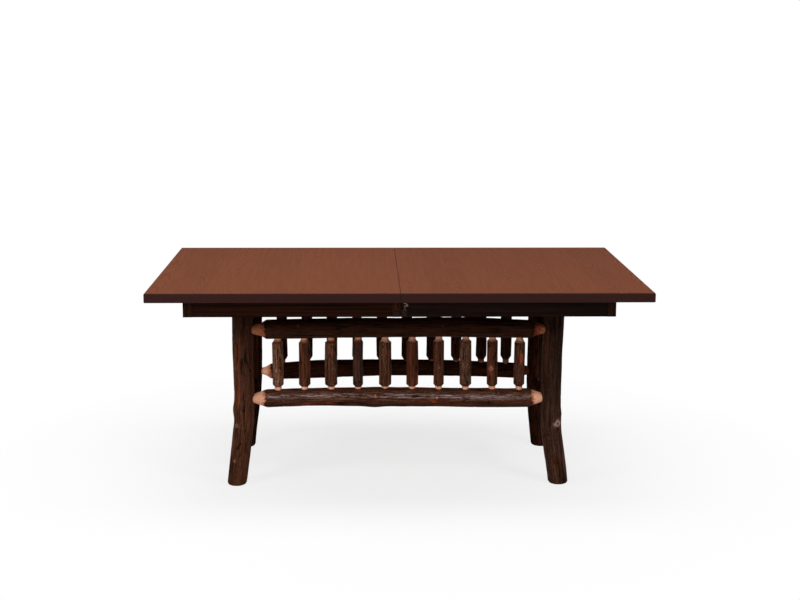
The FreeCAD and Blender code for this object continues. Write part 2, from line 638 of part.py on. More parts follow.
def make_runner(face_name, face, side_name, side):
    """A sliding member with its dovetail tongue, rack recess and stop slot.

    Drawn for the right half; the left one is the same piece turned half round.
    """
    body = new_body(f"slide_runner_{face_name}_{side_name}")
    sketch = new_sketch(body, "section", "YZ_Plane", (0, 0, -RUNNER_OVERLAP))
    back = RUNNER_FACE + S.runner_thickness
    tip = CENTRE_FACE - S.groove_depth + S.wood_clearance
    mouth = S.groove_mouth / 2 - S.wood_clearance
    root = S.groove_root / 2 - S.wood_clearance
    draw_outline(sketch, [
        (RUNNER_FACE, RUNNER_LOW), (back, RUNNER_LOW), (back, TOP_UNDER), (RUNNER_FACE, TOP_UNDER),
        (RUNNER_FACE, GROOVE_MIDDLE + mouth), (tip, GROOVE_MIDDLE + root),
        (tip, GROOVE_MIDDLE - root), (RUNNER_FACE, GROOVE_MIDDLE - mouth),
    ])
    pad = body.newObject("PartDesign::Pad", "member")
    pad.Profile = sketch
    bind(pad, "Length", RUNNER_END + RUNNER_OVERLAP)
    first = (-RECESS_FAR, RUNNER_FACE, GEAR_LOW - S.wood_clearance * 2)
    second = (RECESS_NEAR, RACK_BACK, GEAR_HIGH + S.wood_clearance * 2)
    block(body, "rack_recess", first, second, cut=True)
    slot_half = S.stop_pin_radius + S.wood_clearance * 3
    first = (SLOT_NEAR, RUNNER_MIDDLE - slot_half, RUNNER_LOW)
    second = (SLOT_FAR, RUNNER_MIDDLE + slot_half, RUNNER_LOW + S.stop_slot_depth)
    block(body, "stop_slot", first, second, cut=True)
    for number, x in enumerate(screw_places(1), 1):
        spot = (x, RUNNER_MIDDLE, RUNNER_LOW)
        cut_screw_hole(body, number, spot, TOP_UNDER - RUNNER_LOW)
    place(body, y=SLIDE_Y * face, rotation=None if side > 0 else HALF_TURN)
    return keep(body)


def cut_screw_hole(body, number, spot, depth):
    """A countersunk clearance hole, entered from below."""
    shank = S.screw_radius + S.screw_play
    head = S.screw_head_radius + S.screw_play
    rod(body, f"screw_hole_{number}", spot, "z", depth, shank, cut=True)
    taper(body, f"countersink_{number}", spot, "z", S.screw_head_height, head, shank, cut=True)


def make_rack(face_name, face, side_name, side):
    """A straight rack in its runner's recess; a tooth space faces the pinion at rest."""
    body = new_body(f"rack_{side_name}_{face_name}")
    pitch = S.gear_module * math.pi
    teeth_before = math.floor((S.half_travel + S.rack_margin).value / pitch.value)
    teeth_after = math.floor(S.rack_margin.value / pitch.value)
    count = teeth_before + teeth_after
    start = -(pitch * teeth_before)
    first_tooth = start + pitch / 2
    block(body, "bar", (start, RACK_ROOT, GEAR_LOW), (start + pitch * count, RACK_BACK, GEAR_HIGH))
    slope = math.tan(PRESSURE_ANGLE)
    half_tooth = pitch / 4 - S.gear_backlash / 2
    root_half = half_tooth + (RACK_ROOT - RACK_PITCH_LINE) * slope
    addendum = S.gear_module * RACK_ADDENDUM
    tip_half = half_tooth - addendum * slope
    tip_line = RACK_PITCH_LINE - addendum
    sketch = new_sketch(body, "tooth_section", "XY_Plane", (0, 0, GEAR_LOW))
    draw_outline(sketch, [
        (first_tooth - root_half, RACK_ROOT), (first_tooth - tip_half, tip_line),
        (first_tooth + tip_half, tip_line), (first_tooth + root_half, RACK_ROOT),
    ])
    tooth = body.newObject("PartDesign::Pad", "tooth")
    tooth.Profile = sketch
    bind(tooth, "Length", S.gear_width)
    pattern = body.newObject("PartDesign::LinearPattern", "teeth")
    pattern.Originals = [tooth]
    pattern.Direction = (plane(body, "X_Axis"), [""])
    bind(pattern, "Length", pitch * (count - 1))
    pattern.Occurrences = count
    body.Tip = pattern
    place(body, y=SLIDE_Y * face, rotation=None if side > 0 else HALF_TURN)
    return body


def involute_angle(radius, base_radius):
    """Polar angle of the involute of a circle at a given radius, in radians."""
    roll = math.sqrt(max((radius / base_radius) ** 2 - 1, 0.0))
    return roll - math.atan(roll)


def pinion_wire():
    """The pinion's outline: involute flanks as arcs through three of their points, radial below the base."""
    teeth = int(S.gear_teeth.value)
    pitch_radius = PITCH_RADIUS.value
    base_radius = pitch_radius * math.cos(PRESSURE_ANGLE)
    tip_radius = pitch_radius + S.gear_module.value
    root_radius = pitch_radius - DEDENDUM * S.gear_module.value
    half_tooth = math.pi / (2 * teeth) - S.gear_backlash.value / (2 * pitch_radius)
    offset = half_tooth + involute_angle(pitch_radius, base_radius)

    def point(radius, angle):
        return FreeCAD.Vector(radius * math.cos(angle), radius * math.sin(angle), 0)

    def flank(radius):
        return offset - involute_angle(radius, base_radius)

    middle_radius = (base_radius + tip_radius) / 2
    edges = []
    for tooth in range(teeth):
        centre = math.pi / 2 + 2 * math.pi * tooth / teeth
        next_centre = centre + 2 * math.pi / teeth
        radii = (base_radius, middle_radius, tip_radius)
        rising = [point(radius, centre - flank(radius)) for radius in radii]
        falling = [point(radius, centre + flank(radius)) for radius in reversed(radii)]
        root_in = point(root_radius, centre - offset)
        root_out = point(root_radius, centre + offset)
        root_middle = point(root_radius, (centre + next_centre) / 2)
        root_next = point(root_radius, next_centre - offset)
        edges.append(Part.LineSegment(root_in, rising[0]).toShape())
        edges.append(Part.Arc(*rising).toShape())
        edges.append(Part.Arc(rising[2], point(tip_radius, centre), falling[0]).toShape())
        edges.append(Part.Arc(*falling).toShape())
        edges.append(Part.LineSegment(falling[2], root_out).toShape())
        edges.append(Part.Arc(root_out, root_middle, root_next).toShape())
    return Part.Wire(edges)


def make_pinion(face_name, face):
    """A pinion with a bored hub; its tooth flanks follow an involute, which no sketch tool draws."""
    disc = Part.Face(pinion_wire()).extrude(FreeCAD.Vector(0, 0, S.gear_width.value))
    bore_radius = S.pinion_pin_radius.value + S.running_clearance.value
    bore = Part.makeCylinder(bore_radius, S.gear_width.value)
    pinion = doc.addObject("Part::Feature", f"slide_pinion_{face_name}")
    pinion.Label = f"slide_pinion_{face_name}"
    pinion.Shape = disc.cut(bore)
    place(pinion, y=SLIDE_Y * face, z=GEAR_LOW)
    return keep(pinion)


def make_pinion_pin(face_name, face):
    """The steel pin that a pinion turns on, dropped in from above."""
    body = new_body(f"pinion_pin_{face_name}")
    low = GEAR_LOW - S.pinion_pin_foot + S.wood_clearance
    rod(body, "pin", (0, 0, low), "z", CENTRE_HIGH - S.wood_clearance - low, S.pinion_pin_radius)
    place(body, y=SLIDE_Y * face)
    return body


def make_stop_pin(side_name, side, number, y):
    """A hardwood dowel standing in a bearer, in the slot of the runner above it."""
    body = new_body(f"stop_pin_{side_name}_{number}")
    low = BEARER_TOP - S.stop_pin_depth + S.wood_clearance
    high = RUNNER_LOW + S.stop_slot_depth - S.stop_play
    rod(body, "pin", (LEG_X * side, y, low), "z", high - low, S.stop_pin_radius)
    return body


def make_bearer(side_name, side):
    """The board across the tops of one pair of legs."""
    body = new_body(f"cross_bearer_{side_name}")
    half = S.bearer_width / 2
    first = ((LEG_X - half) * side, -BEARER_END, BEARER_UNDER)
    block(body, "board", first, ((LEG_X + half) * side, BEARER_END, BEARER_TOP))
    bore = S.leg_tenon_radius + S.wood_clearance
    for face_name, face in FACES:
        spot = (LEG_X * side, FRAME_Y * face, BEARER_UNDER)
        rod(body, f"{face_name}_mortise", spot, "z", S.bearer_thickness, bore, cut=True)
    places = [x for x in bearer_screw_places() if x.value * side > 0]
    spots = [(x, SLIDE_Y * face) for x in places for face_name, face in FACES]
    for number, (x, y) in enumerate(spots, 1):
        cut_screw_hole(body, number, (x, y, BEARER_UNDER), S.bearer_thickness)
    bore = S.stop_pin_radius + S.wood_clearance
    for number, y in enumerate(runner_rows(side), 1):
        spot = (LEG_X * side, y, BEARER_TOP - S.stop_pin_depth)
        rod(body, f"stop_bore_{number}", spot, "z", S.stop_pin_depth, bore, cut=True)
    return keep(body)


# The base: natural poles with peeled tapers, tenoned into one another.

def loft_circles(body, name, stations):
    """Loft a pole along the body's Z axis through (height, x, y, radius) circles."""
    sketches = []
    for number, (height, x, y, radius) in enumerate(stations, 1):
        sketch = new_sketch(body, f"{name}_station_{number}", "XY_Plane", (0, 0, height))
        draw_circle(sketch, x, y, radius)
        sketches.append(sketch)
    loft = body.newObject("PartDesign::AdditiveLoft", name)
    loft.Profile = sketches[0]
    loft.Sections = sketches[1:]
    return loft


def flare_share(height):
    """How much of the foot's kick a leg has at a height: none above the flare, all of it at the floor."""
    value = max(0.0, 1 - height.value / S.flare_height.value) ** FLARE_POWER
    return Size(value, f"pow(max(0; 1 - {height.text} / sizes.flare_height); {FLARE_POWER})")


def make_leg(face_name, face, side_name, side):
    """A flared leg with a top tenon, two mortises for long rails and two for end rails."""
    body = new_body(f"leg_{face_name}_{side_name}")
    stations = []
    for number in range(LEG_STATIONS):
        share = number / (LEG_STATIONS - 1)
        height = S.foot_arris + (BEARER_UNDER - S.foot_arris) * share
        kick = flare_share(height)
        radius = S.foot_radius + (S.leg_radius - S.foot_radius) * share
        stations.append((height, S.foot_kick * side * kick, S.foot_splay * face * kick, radius))
    foot_spot = (stations[0][1], stations[0][2], 0)
    taper(body, "foot_edge", foot_spot, "z", S.foot_arris, S.foot_radius - S.foot_arris, S.foot_radius)
    loft_circles(body, "pole", stations)
    tenon_height = S.bearer_thickness - S.wood_clearance
    rod(body, "tenon", (0, 0, BEARER_UNDER), "z", tenon_height, S.leg_tenon_radius)
    reach = S.tenon_reach + S.wood_clearance
    length = S.leg_radius * CUTTER_REACH + reach
    bore = S.rail_tenon_radius + S.wood_clearance
    inward = "-x" if side > 0 else "x"
    for level, height in zip(LEVELS, RAIL_HEIGHTS[face_name]):
        rod(body, f"{level}_rail_mortise", (reach * side, 0, height), inward, length, bore, cut=True)
    bore = S.end_tenon_radius + S.wood_clearance
    inward = "-y" if face > 0 else "y"
    for level, height in zip(LEVELS, END_RAIL_HEIGHTS):
        rod(body, f"{level}_end_mortise", (0, reach * face, height), inward, length, bore, cut=True)
    place(body, x=LEG_X * side, y=FRAME_Y * face)
    return keep(body)


LONG_RAIL = SimpleNamespace(
    bark_half=RAIL_BARK_HALF, axis_gap=LEG_X, peel_radius=S.rail_shoulder_radius,
    tenon_radius=S.rail_tenon_radius, rotation=ALONG_X,
)
END_RAIL = SimpleNamespace(
    bark_half=END_BARK_HALF, axis_gap=FRAME_Y, peel_radius=S.end_shoulder_radius,
    tenon_radius=S.end_tenon_radius, rotation=ALONG_Y,
)


def make_rail(label, kind, shape, radius, spindle_row):
    """A bark-on rail: a natural pole, peeled tapers and tenons, bored for its spindles.

    The pole lies along the body's Z axis. Its lift is along the body's Y axis on a long rail and its X axis
    on an end rail. The spindle row gives the way to the spindles, their pitch, their shift and their count.
    """
    body = new_body(label)
    is_long = kind is LONG_RAIL
    stations = []
    for number, (lift, girth) in enumerate(shape):
        along = kind.bark_half * (2 * number / (len(shape) - 1) - 1)
        across = (0, lift) if is_long else (lift, 0)
        stations.append((along, *across, radius * girth))
    loft_circles(body, "bark", stations)
    leg_face = kind.axis_gap - S.leg_radius
    peel_start = kind.bark_half + S.rail_bevel
    for name, axis, sign, girth in (("first", "-z", -1, shape[0][1]), ("last", "z", 1, shape[-1][1])):
        bark_end = (0, 0, kind.bark_half * sign)
        taper(body, f"{name}_bevel", bark_end, axis, S.rail_bevel, radius * girth, kind.peel_radius)
        peel = (0, 0, peel_start * sign)
        taper(body, f"{name}_peel", peel, axis, leg_face - peel_start, kind.peel_radius, kind.tenon_radius)
        tenon_length = S.leg_radius + S.tenon_reach
        rod(body, f"{name}_tenon", (0, 0, leg_face * sign), axis, tenon_length, kind.tenon_radius)
    direction, pitch, shift, count = spindle_row
    first = shift - pitch * ((count - 1) / 2)
    start = (0, S.spindle_room * direction, first) if is_long else (S.spindle_room * direction, 0, first)
    axis = ("" if direction > 0 else "-") + ("y" if is_long else "x")
    bore_radius = S.spindle_tenon + S.wood_clearance
    bore = rod(body, "spindle_bore", start, axis, radius * CUTTER_REACH, bore_radius, cut=True)
    pattern = body.newObject("PartDesign::LinearPattern", "spindle_bores")
    pattern.Originals = [bore]
    pattern.Direction = (plane(body, "Z_Axis"), [""])
    bind(pattern, "Length", pitch * (count - 1))
    pattern.Occurrences = count
    body.Tip = pattern
    return keep(body)


def make_spindle(label, girth, bore_low, bore_high, bark_low, bark_high, chamfer, taper_length):
    """A short pole along Z: bark, a peeled taper above, a chamfer below and a tenon at each end."""
    body = new_body(label)
    low = bore_low + S.wood_clearance
    high = bore_high - S.wood_clearance
    bark = S.spindle_radius * girth
    turn_profile(body, "pole", [
        (0, low), (S.spindle_tenon, low), (S.spindle_tenon, bark_low - chamfer),
        (bark, bark_low), (bark, bark_high), (S.spindle_shoulder, bark_high + S.spindle_bevel),
        (S.spindle_tenon, bark_high + taper_length), (S.spindle_tenon, high), (0, high),
    ])
    return body


# Metalwork and other fasteners.

def make_screw(label, spot, length):
    """A countersunk wood screw pointing up, its head flush at the spot."""
    body = new_body(label)
    turn_profile(body, "screw", [
        (0, 0), (S.screw_head_radius, 0), (S.screw_radius, S.screw_head_height),
        (S.screw_radius, length - S.screw_point), (0, length),
    ])
    return place(body, *spot)


def make_lock_screw(label, x, z, face, plate_thickness):
    """A small domed screw that holds a lock plate to its seam block."""
    body = new_body(label)
    height = S.small_screw_head_height
    under = S.small_screw_length
    turn_profile(body, "screw", [
        (0, -under), (S.small_screw_radius, S.small_screw_radius - under), (S.small_screw_radius, 0),
        (S.small_screw_head, 0), (S.small_screw_crown, height), (0, height),
    ])
    y = (POST_FRONT + plate_thickness) * face
    return place(body, x, y, z, AXIS_TURNS["-y" if face < 0 else "y"])


def make_hook_plate(face_name, face):
    """The plate on the right seam block that the hook turns on."""
    body = new_body(f"hook_plate_{face_name}")
    half = S.plate_width / 2
    low = LOCK_Z - S.plate_below
    first = (S.lock_pivot - half, POST_FRONT * face, low)
    second = (S.lock_pivot + half, (POST_FRONT + S.plate_thickness) * face, low + S.plate_height)
    block(body, "plate", first, second)
    outward = "-y" if face < 0 else "y"
    spot = (S.lock_pivot, POST_FRONT * face, LOCK_Z)
    rod(body, "rivet_bore", spot, outward, S.plate_thickness, S.rivet_radius + S.running_clearance, cut=True)
    bore = S.small_screw_radius + S.screw_play
    for number, (x, z) in enumerate(lock_screw_spots(1), 1):
        spot = (x, POST_FRONT * face, z)
        rod(body, f"screw_hole_{number}", spot, outward, S.plate_thickness, bore, cut=True)
    return body


def make_rivet(face_name, face):
    """The rivet that the hook swings on: a collar against the plate, a shank and a domed head."""
    body = new_body(f"hook_rivet_{face_name}")
    outward = "-y" if face < 0 else "y"
    collar = S.hook_standoff - S.plate_thickness - S.wood_clearance
    head_start = S.hook_standoff + S.hook_thickness + S.wood_clearance
    rod(body, "shank", (0, 0, 0), outward, head_start, S.rivet_radius)
    rod(body, "collar", (0, S.plate_thickness * face, 0), outward, collar, S.rivet_head_radius)
    head_spot = (0, head_start * face, 0)
    taper(body, "head", head_spot, outward, S.rivet_head_height, S.rivet_head_radius, S.rivet_radius)
    return place(body, S.lock_pivot, POST_FRONT * face, LOCK_Z)


def make_keeper(face_name, face):
    """The plate and headed stud on the left seam block that the hook catches."""
    body = new_body(f"keeper_{face_name}")
    half = S.keeper_width / 2
    first = (STUD_X - half, POST_FRONT * face, LOCK_Z - S.keeper_height / 2)
    second = (STUD_X + half, (POST_FRONT + S.keeper_thickness) * face, LOCK_Z + S.keeper_height / 2)
    block(body, "plate", first, second)
    outward = "-y" if face < 0 else "y"
    head_start = S.hook_standoff + S.hook_thickness + S.wood_clearance
    rod(body, "stud", (STUD_X, POST_FRONT * face, LOCK_Z), outward, head_start, S.rivet_radius)
    spot = (STUD_X, (POST_FRONT + head_start) * face, LOCK_Z)
    taper(body, "head", spot, outward, S.rivet_head_height, S.stud_head_radius, S.rivet_radius)
    bore = S.small_screw_radius + S.screw_play
    for number, (x, z) in enumerate(lock_screw_spots(-1), 1):
        spot = (x, POST_FRONT * face, z)
        rod(body, f"screw_hole_{number}", spot, outward, S.keeper_thickness, bore, cut=True)
    return body


def make_hook(face_name, face):
    """The swinging hook: hub, stem, a beak that catches the stud and a thumb tab.

    Its outline is drawn with the stem straight up from the pivot and the beak to the left.
    At rest it leans right, so beak and tab stand like a V.
    """
    body = new_body(f"lock_hook_{face_name}")
    reach = S.lock_reach
    stem = S.hook_stem / 2
    room = S.rivet_radius + S.wood_clearance
    beak_inner = reach + room
    beak_outer = beak_inner + S.beak_thickness
    sketch = new_sketch(body, "outline", "XZ_Plane")
    draw_outline(sketch, [
        (-stem, 0), (stem, 0), (stem, reach - S.hook_stem), (S.hook_tab, reach - stem), (S.hook_tab, reach),
        (stem, beak_outer), (-S.beak_length, beak_outer), (-S.beak_length, beak_inner),
        (room, beak_inner), (room, reach - room - S.wood_clearance), (-stem, reach - room - S.wood_clearance),
    ])
    pad = body.newObject("PartDesign::Pad", "lever")
    pad.Profile = sketch
    bind(pad, "Length", S.hook_thickness)
    rod(body, "hub", (0, 0, 0), "-y", S.hook_thickness, S.hook_hub_radius)
    rod(body, "pivot_bore", (0, 0, 0), "-y", S.hook_thickness, S.rivet_radius + S.running_clearance, cut=True)
    lean = FreeCAD.Rotation(FreeCAD.Vector(0, 1, 0), 90 - HOOK_REST_ANGLE)
    start = HOOK_INNER * face if face < 0 else HOOK_OUTER
    place(body, S.lock_pivot, start, LOCK_Z, lean)
    return keep(body)


def make_dowel(number, share):
    """A dowel across the seam, glued in the right half and free in the left."""
    body = new_body(f"seam_dowel_{number}")
    length = S.dowel_depth * 2 - S.wood_clearance
    middle = TOP_UNDER + S.top_thickness / 2
    start = (S.wood_clearance - S.dowel_depth, S.dowel_spacing * share, middle)
    rod(body, "dowel", start, "x", length, S.dowel_radius)
    return body


# Assembly, from the top down.

for side_name, side in SIDES:
    make_top(side_name, side)
    for face_name, face in FACES:
        make_long_apron(face_name, face, side_name, side)
        make_runner(face_name, face, side_name, side)
    make_end_apron(side_name, side)
    make_bearer(side_name, side)
    group(f"corner_posts_{side_name}", [make_corner_post(side_name, side, *face) for face in FACES])
    group(f"seam_blocks_{side_name}", [make_seam_block(side_name, side, *face) for face in FACES])
    group(f"slide_racks_{side_name}", [make_rack(*face, side_name, side) for face in FACES])

for face_name, face in FACES:
    make_centre_member(face_name, face)
    make_pinion(face_name, face)
    make_hook(face_name, face)

group("pinion_pins", [make_pinion_pin(*face) for face in FACES])
group("hook_plates", [make_hook_plate(*face) for face in FACES])
group("hook_rivets", [make_rivet(*face) for face in FACES])
group("hook_keepers", [make_keeper(*face) for face in FACES])
group("seam_dowels", [make_dowel(*item) for item in enumerate(DOWEL_SHARES, 1)])
group("stop_pins", [
    make_stop_pin(side_name, side, number, y)
    for side_name, side in SIDES
    for number, y in enumerate(runner_rows(side), 1)
])

for face_name, face in FACES:
    for side_name, side in SIDES:
        make_leg(face_name, face, side_name, side)

LONG_ROWS = {"front": (FRONT_PITCH, as_size(0)), "back": (BACK_PITCH, S.back_shift)}
LONG_SHAPES = {"front": (FRONT_TOP_SHAPE, FRONT_BOTTOM_SHAPE), "back": (BACK_TOP_SHAPE, BACK_BOTTOM_SHAPE)}
LONG_RADII = (S.rail_radius, S.lower_rail_radius)
for face_name, face in FACES:
    levels = zip(LEVELS, LEVEL_DIRECTIONS, LONG_SHAPES[face_name], RAIL_HEIGHTS[face_name], LONG_RADII)
    for level, direction, shape, height, radius in levels:
        row = (direction, *LONG_ROWS[face_name], LONG_SPINDLES)
        rail = make_rail(f"rail_{face_name}_{level}", LONG_RAIL, shape, radius, row)
        place(rail, y=FRAME_Y * face, z=height, rotation=ALONG_X)

END_SHAPES = {"left": (LEFT_TOP_SHAPE, LEFT_BOTTOM_SHAPE), "right": (RIGHT_TOP_SHAPE, RIGHT_BOTTOM_SHAPE)}
for side_name, side in SIDES:
    levels = zip(LEVELS, LEVEL_DIRECTIONS, END_SHAPES[side_name], END_RAIL_HEIGHTS)
    for level, direction, shape, height in levels:
        row = (direction, END_PITCH, as_size(0), END_SPINDLES)
        rail = make_rail(f"rail_{side_name}_{level}", END_RAIL, shape, S.end_rail_radius, row)
        place(rail, x=LEG_X * side, z=height, rotation=ALONG_Y)


def make_spindle_row(prefix, pitch, shift, girths, heights):
    """A row of spindles as (spindle, place along the row), each still at the middle line."""
    row = []
    for index, girth in enumerate(girths):
        spindle = make_spindle(f"{prefix}_{index + 1:02d}", girth, *heights)
        row.append((spindle, shift + pitch * (index - (len(girths) - 1) / 2)))
    return row


def spindle_heights(bottom, top, lower_radius, upper_radius, gap_low, gap_high, chamfer):
    """Bore floors, bark ends, chamfer and taper of a spindle between the axis heights of its two rails."""
    return (
        bottom + S.spindle_room, top - S.spindle_room,
        bottom + lower_radius + gap_low, top - upper_radius - gap_high,
        chamfer, gap_high - S.taper_clear,
    )


front_heights = spindle_heights(
    S.front_bottom_rail, FRONT_TOP_RAIL, S.lower_rail_radius, S.rail_radius,
    S.front_bark_gap, S.front_gap_high, S.front_chamfer,
)
for spindle, x in make_spindle_row("spindle_front", *LONG_ROWS["front"], FRONT_GIRTHS, front_heights):
    keep(place(spindle, x=x, y=-FRAME_Y))

back_heights = spindle_heights(
    S.back_bottom_rail, BACK_TOP_RAIL, S.lower_rail_radius, S.rail_radius,
    S.back_bark_gap, S.back_gap_high, S.back_chamfer,
)
back_row = make_spindle_row("spindle_back", *LONG_ROWS["back"], BACK_GIRTHS, back_heights)
group("spindles_back", [place(spindle, x=x, y=FRAME_Y) for spindle, x in back_row])

end_top, end_bottom = END_RAIL_HEIGHTS
end_heights = spindle_heights(
    end_bottom, end_top, S.end_rail_radius, S.end_rail_radius,
    S.front_bark_gap, S.front_gap_high, S.front_chamfer,
)
for side_name, side in SIDES:
    row = make_spindle_row(f"spindle_{side_name}", END_PITCH, as_size(0), END_GIRTHS, end_heights)
    group(f"spindles_{side_name}", [place(spindle, x=LEG_X * side, y=y) for spindle, y in row])

bearer_screw_length = S.bearer_thickness + S.bearer_screw_grip
bearer_spots = [(x, SLIDE_Y * face, BEARER_UNDER) for x in bearer_screw_places() for face_name, face in FACES]
group("base_screws", [
    make_screw(f"base_screw_{number}", spot, bearer_screw_length)
    for number, spot in enumerate(bearer_spots, 1)
])

runner_screw_length = TOP_UNDER - RUNNER_LOW + S.runner_screw_grip
for side_name, side in SIDES:
    plate_thickness = S.plate_thickness if side > 0 else S.keeper_thickness
    screws = [
        make_screw(f"runner_screw_{side_name}_{number}", (x, y, RUNNER_LOW), runner_screw_length)
        for number, (x, y) in enumerate(runner_screw_spots(side), 1)
    ]
    for face_name, face in FACES:
        for number, (x, z) in enumerate(lock_screw_spots(side), 1):
            label = f"lock_screw_{side_name}_{face_name}_{number}"
            screws.append(make_lock_screw(label, x, z, face, plate_thickness))
    group(f"screws_{side_name}", screws)


def check_document():
    """Stop if any object failed or any sub-part is not a sound solid."""
    doc.recompute()
    for item in doc.Objects:
        if "Invalid" in item.State or "Error" in item.State:
            raise RuntimeError(f"{item.Label} failed: {item.State}")
    for node in nodes:
        shape = node.Shape
        if shape.isNull() or not shape.isValid() or not shape.Solids:
            raise RuntimeError(f"{node.Label} is not a sound solid")


check_document()
os.makedirs("parts", exist_ok=True)
for node in nodes:
    node.Shape.exportStep(os.path.join("parts", f"{node.Label}.step"))
print(f"{len(nodes)} nodes, {sum(len(node.Shape.Solids) for node in nodes)} solids")
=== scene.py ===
# %% [markdown]
# # A rustic hickory extension table
# The table joins two crafts. Above is cabinet work: a stained top of glued boards in two halves, with
# square aprons under it. Below is rustic work: hickory saplings with their bark left on, their ends peeled
# and sharpened into tenons. The cabinet work already has its exact shape in the CAD frame, so it stays
# and only gets its finishes here. A sapling is never a true cylinder, so each pole is modelled again as a
# skin with real ridges, furrows and knots.

import bpy
import numpy as np
from mathutils import Matrix


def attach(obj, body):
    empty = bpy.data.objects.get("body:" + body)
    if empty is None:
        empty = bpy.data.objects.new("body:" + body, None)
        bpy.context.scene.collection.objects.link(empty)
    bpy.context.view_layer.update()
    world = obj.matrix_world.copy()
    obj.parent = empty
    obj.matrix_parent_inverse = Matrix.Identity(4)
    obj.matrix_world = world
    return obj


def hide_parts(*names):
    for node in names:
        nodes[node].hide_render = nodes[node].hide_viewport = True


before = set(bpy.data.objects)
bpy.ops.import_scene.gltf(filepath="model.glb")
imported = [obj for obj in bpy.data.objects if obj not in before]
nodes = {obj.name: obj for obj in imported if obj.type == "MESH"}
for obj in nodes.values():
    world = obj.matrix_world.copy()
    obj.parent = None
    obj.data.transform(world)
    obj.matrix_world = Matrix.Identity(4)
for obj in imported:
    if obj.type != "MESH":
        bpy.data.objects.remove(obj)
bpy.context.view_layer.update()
MM = 0.001

# %% [markdown]
# ## The camera
# The photograph was taken a little above table height with a long lens, turned slightly and tipped down.
# Known corners of the top and the feet fix the eye point, the turn and the tip. The three directions of
# the camera are worked out from these angles and put into its matrix as columns.

# %% Place the camera
camera_data = bpy.data.cameras.new("table_camera")
camera_data.sensor_width = 36.0
camera_data.lens = 65.70
camera = bpy.data.objects.new("table_camera", camera_data)
bpy.context.scene.collection.objects.link(camera)
eye = np.array([-0.1299, -5.4280, 1.64675])
yaw, pitch, roll = 0.0260, 0.1833, 0.0032
ahead = np.array([np.sin(yaw) * np.cos(pitch), np.cos(yaw) * np.cos(pitch), -np.sin(pitch)])
level_right = np.array([np.cos(yaw), -np.sin(yaw), 0.0])
level_up = np.cross(level_right, ahead)
right = level_right * np.cos(roll) + level_up * np.sin(roll)
up = level_up * np.cos(roll) - level_right * np.sin(roll)
turn = np.eye(4)
turn[:3, 0], turn[:3, 1], turn[:3, 2], turn[:3, 3] = right, up, -ahead, eye
camera.matrix_world = Matrix(turn.tolist())
bpy.context.scene.camera = camera
bpy.context.scene.view_settings.view_transform = "Standard"
print("Camera looks along", ahead.round(3))

# %% [markdown]
# ## Colours and nodes
# Colours are written as hex numbers, the way a screen shows them, and the shaders want linear light. One
# function turns one into the other. A second one adds a node with its settings and fills its inputs,
# whatever the kind of node, so each material below reads as a list of steps.

# %% Colour and node helpers
def linear(hex_colour):
    """Linear RGBA of an sRGB hex colour: a channel c becomes ((c + 0.055) / 1.055) to the power 2.4."""
    channels = np.array([int(hex_colour[i:i + 2], 16) for i in (1, 3, 5)]) / 255
    light = np.where(channels <= 0.04045, channels / 12.92, ((channels + 0.055) / 1.055) ** 2.4)
    return (*light.tolist(), 1.0)


def fill(tree, node, inputs):
    """Fills inputs, named or numbered: a socket or a node's first output is linked, a value is set."""
    for key, value in inputs.items():
        if isinstance(value, bpy.types.Node):
            value = value.outputs[0]
        if isinstance(value, bpy.types.NodeSocket):
            tree.links.new(value, node.inputs[key])
        else:
            node.inputs[key].default_value = value


def add_node(tree, kind, inputs=None, **settings):
    """Adds one node with its settings and fills its inputs."""
    node = tree.nodes.new("ShaderNode" + kind)
    for name, value in settings.items():
        setattr(node, name, value)
    fill(tree, node, inputs or {})
    return node


def new_material(name):
    """A material with an empty node tree that holds only its output and a Principled shader."""
    material = bpy.data.materials.new(name)
    material.use_nodes = True
    tree = material.node_tree
    tree.nodes.clear()
    shader = add_node(tree, "BsdfPrincipled")
    add_node(tree, "OutputMaterial", {"Surface": shader})
    return material, tree, shader


def set_steps(node, stops):
    """Gives a Color Ramp its stops, each a position and an RGBA colour that holds up to the next one."""
    ramp = node.color_ramp
    ramp.interpolation = "CONSTANT"
    while len(ramp.elements) < len(stops):
        ramp.elements.new(1.0)
    for element, (position, colour) in zip(ramp.elements, stops):
        element.position = position
        element.color = colour
    return node


# %% [markdown]
# ## The stage
# A pale floor takes the table's soft shadow. Far from the table it fades into plain white, which is also
# what the world shows to the camera and in reflections, so no horizon line appears. Rays that only light
# the table see a dimmer world, and soft lamps do the rest.

# %% Floor, world and lamps
FLOOR_SIZE = 24.0
SHADOW_NEAR, SHADOW_FAR, SHADOW_WHITE = 0.4, 1.7, 0.76
WORLD_LIGHT = 0.07
LAMPS = (
    # name, place, target, size, watts
    ("overhead_softbox", (-0.1, -0.1, 3.4), (0.0, 0.0, 0.6), (3.2, 1.4), 78.0),
    ("front_softbox", (-0.5, -3.7, 1.9), (0.0, 0.0, 0.4), (1.6, 0.5), 20.0),
    ("left_softbox", (-2.2, -1.8, 1.4), (-0.4, 0.0, 0.4), (0.9, 0.7), 23.0),
    ("right_softbox", (2.0, -1.9, 2.3), (0.4, 0.0, 0.4), (0.9, 0.7), 27.0),
    # The back lamp stands lower than the top, so that no glare runs over the boards.
    ("back_softbox", (0.4, 3.6, 0.40), (0.0, 0.0, 0.40), (2.4, 0.6), 28.0),
)


def seen_directly(tree):
    """1 for rays from the camera, in reflections and through glass, and 0 for rays that only light."""
    path = add_node(tree, "LightPath").outputs
    seen = add_node(tree, "Math", {0: path["Is Camera Ray"], 1: path["Is Glossy Ray"]}, operation="MAXIMUM")
    return add_node(tree, "Math", {0: seen, 1: path["Is Transmission Ray"]}, operation="MAXIMUM")


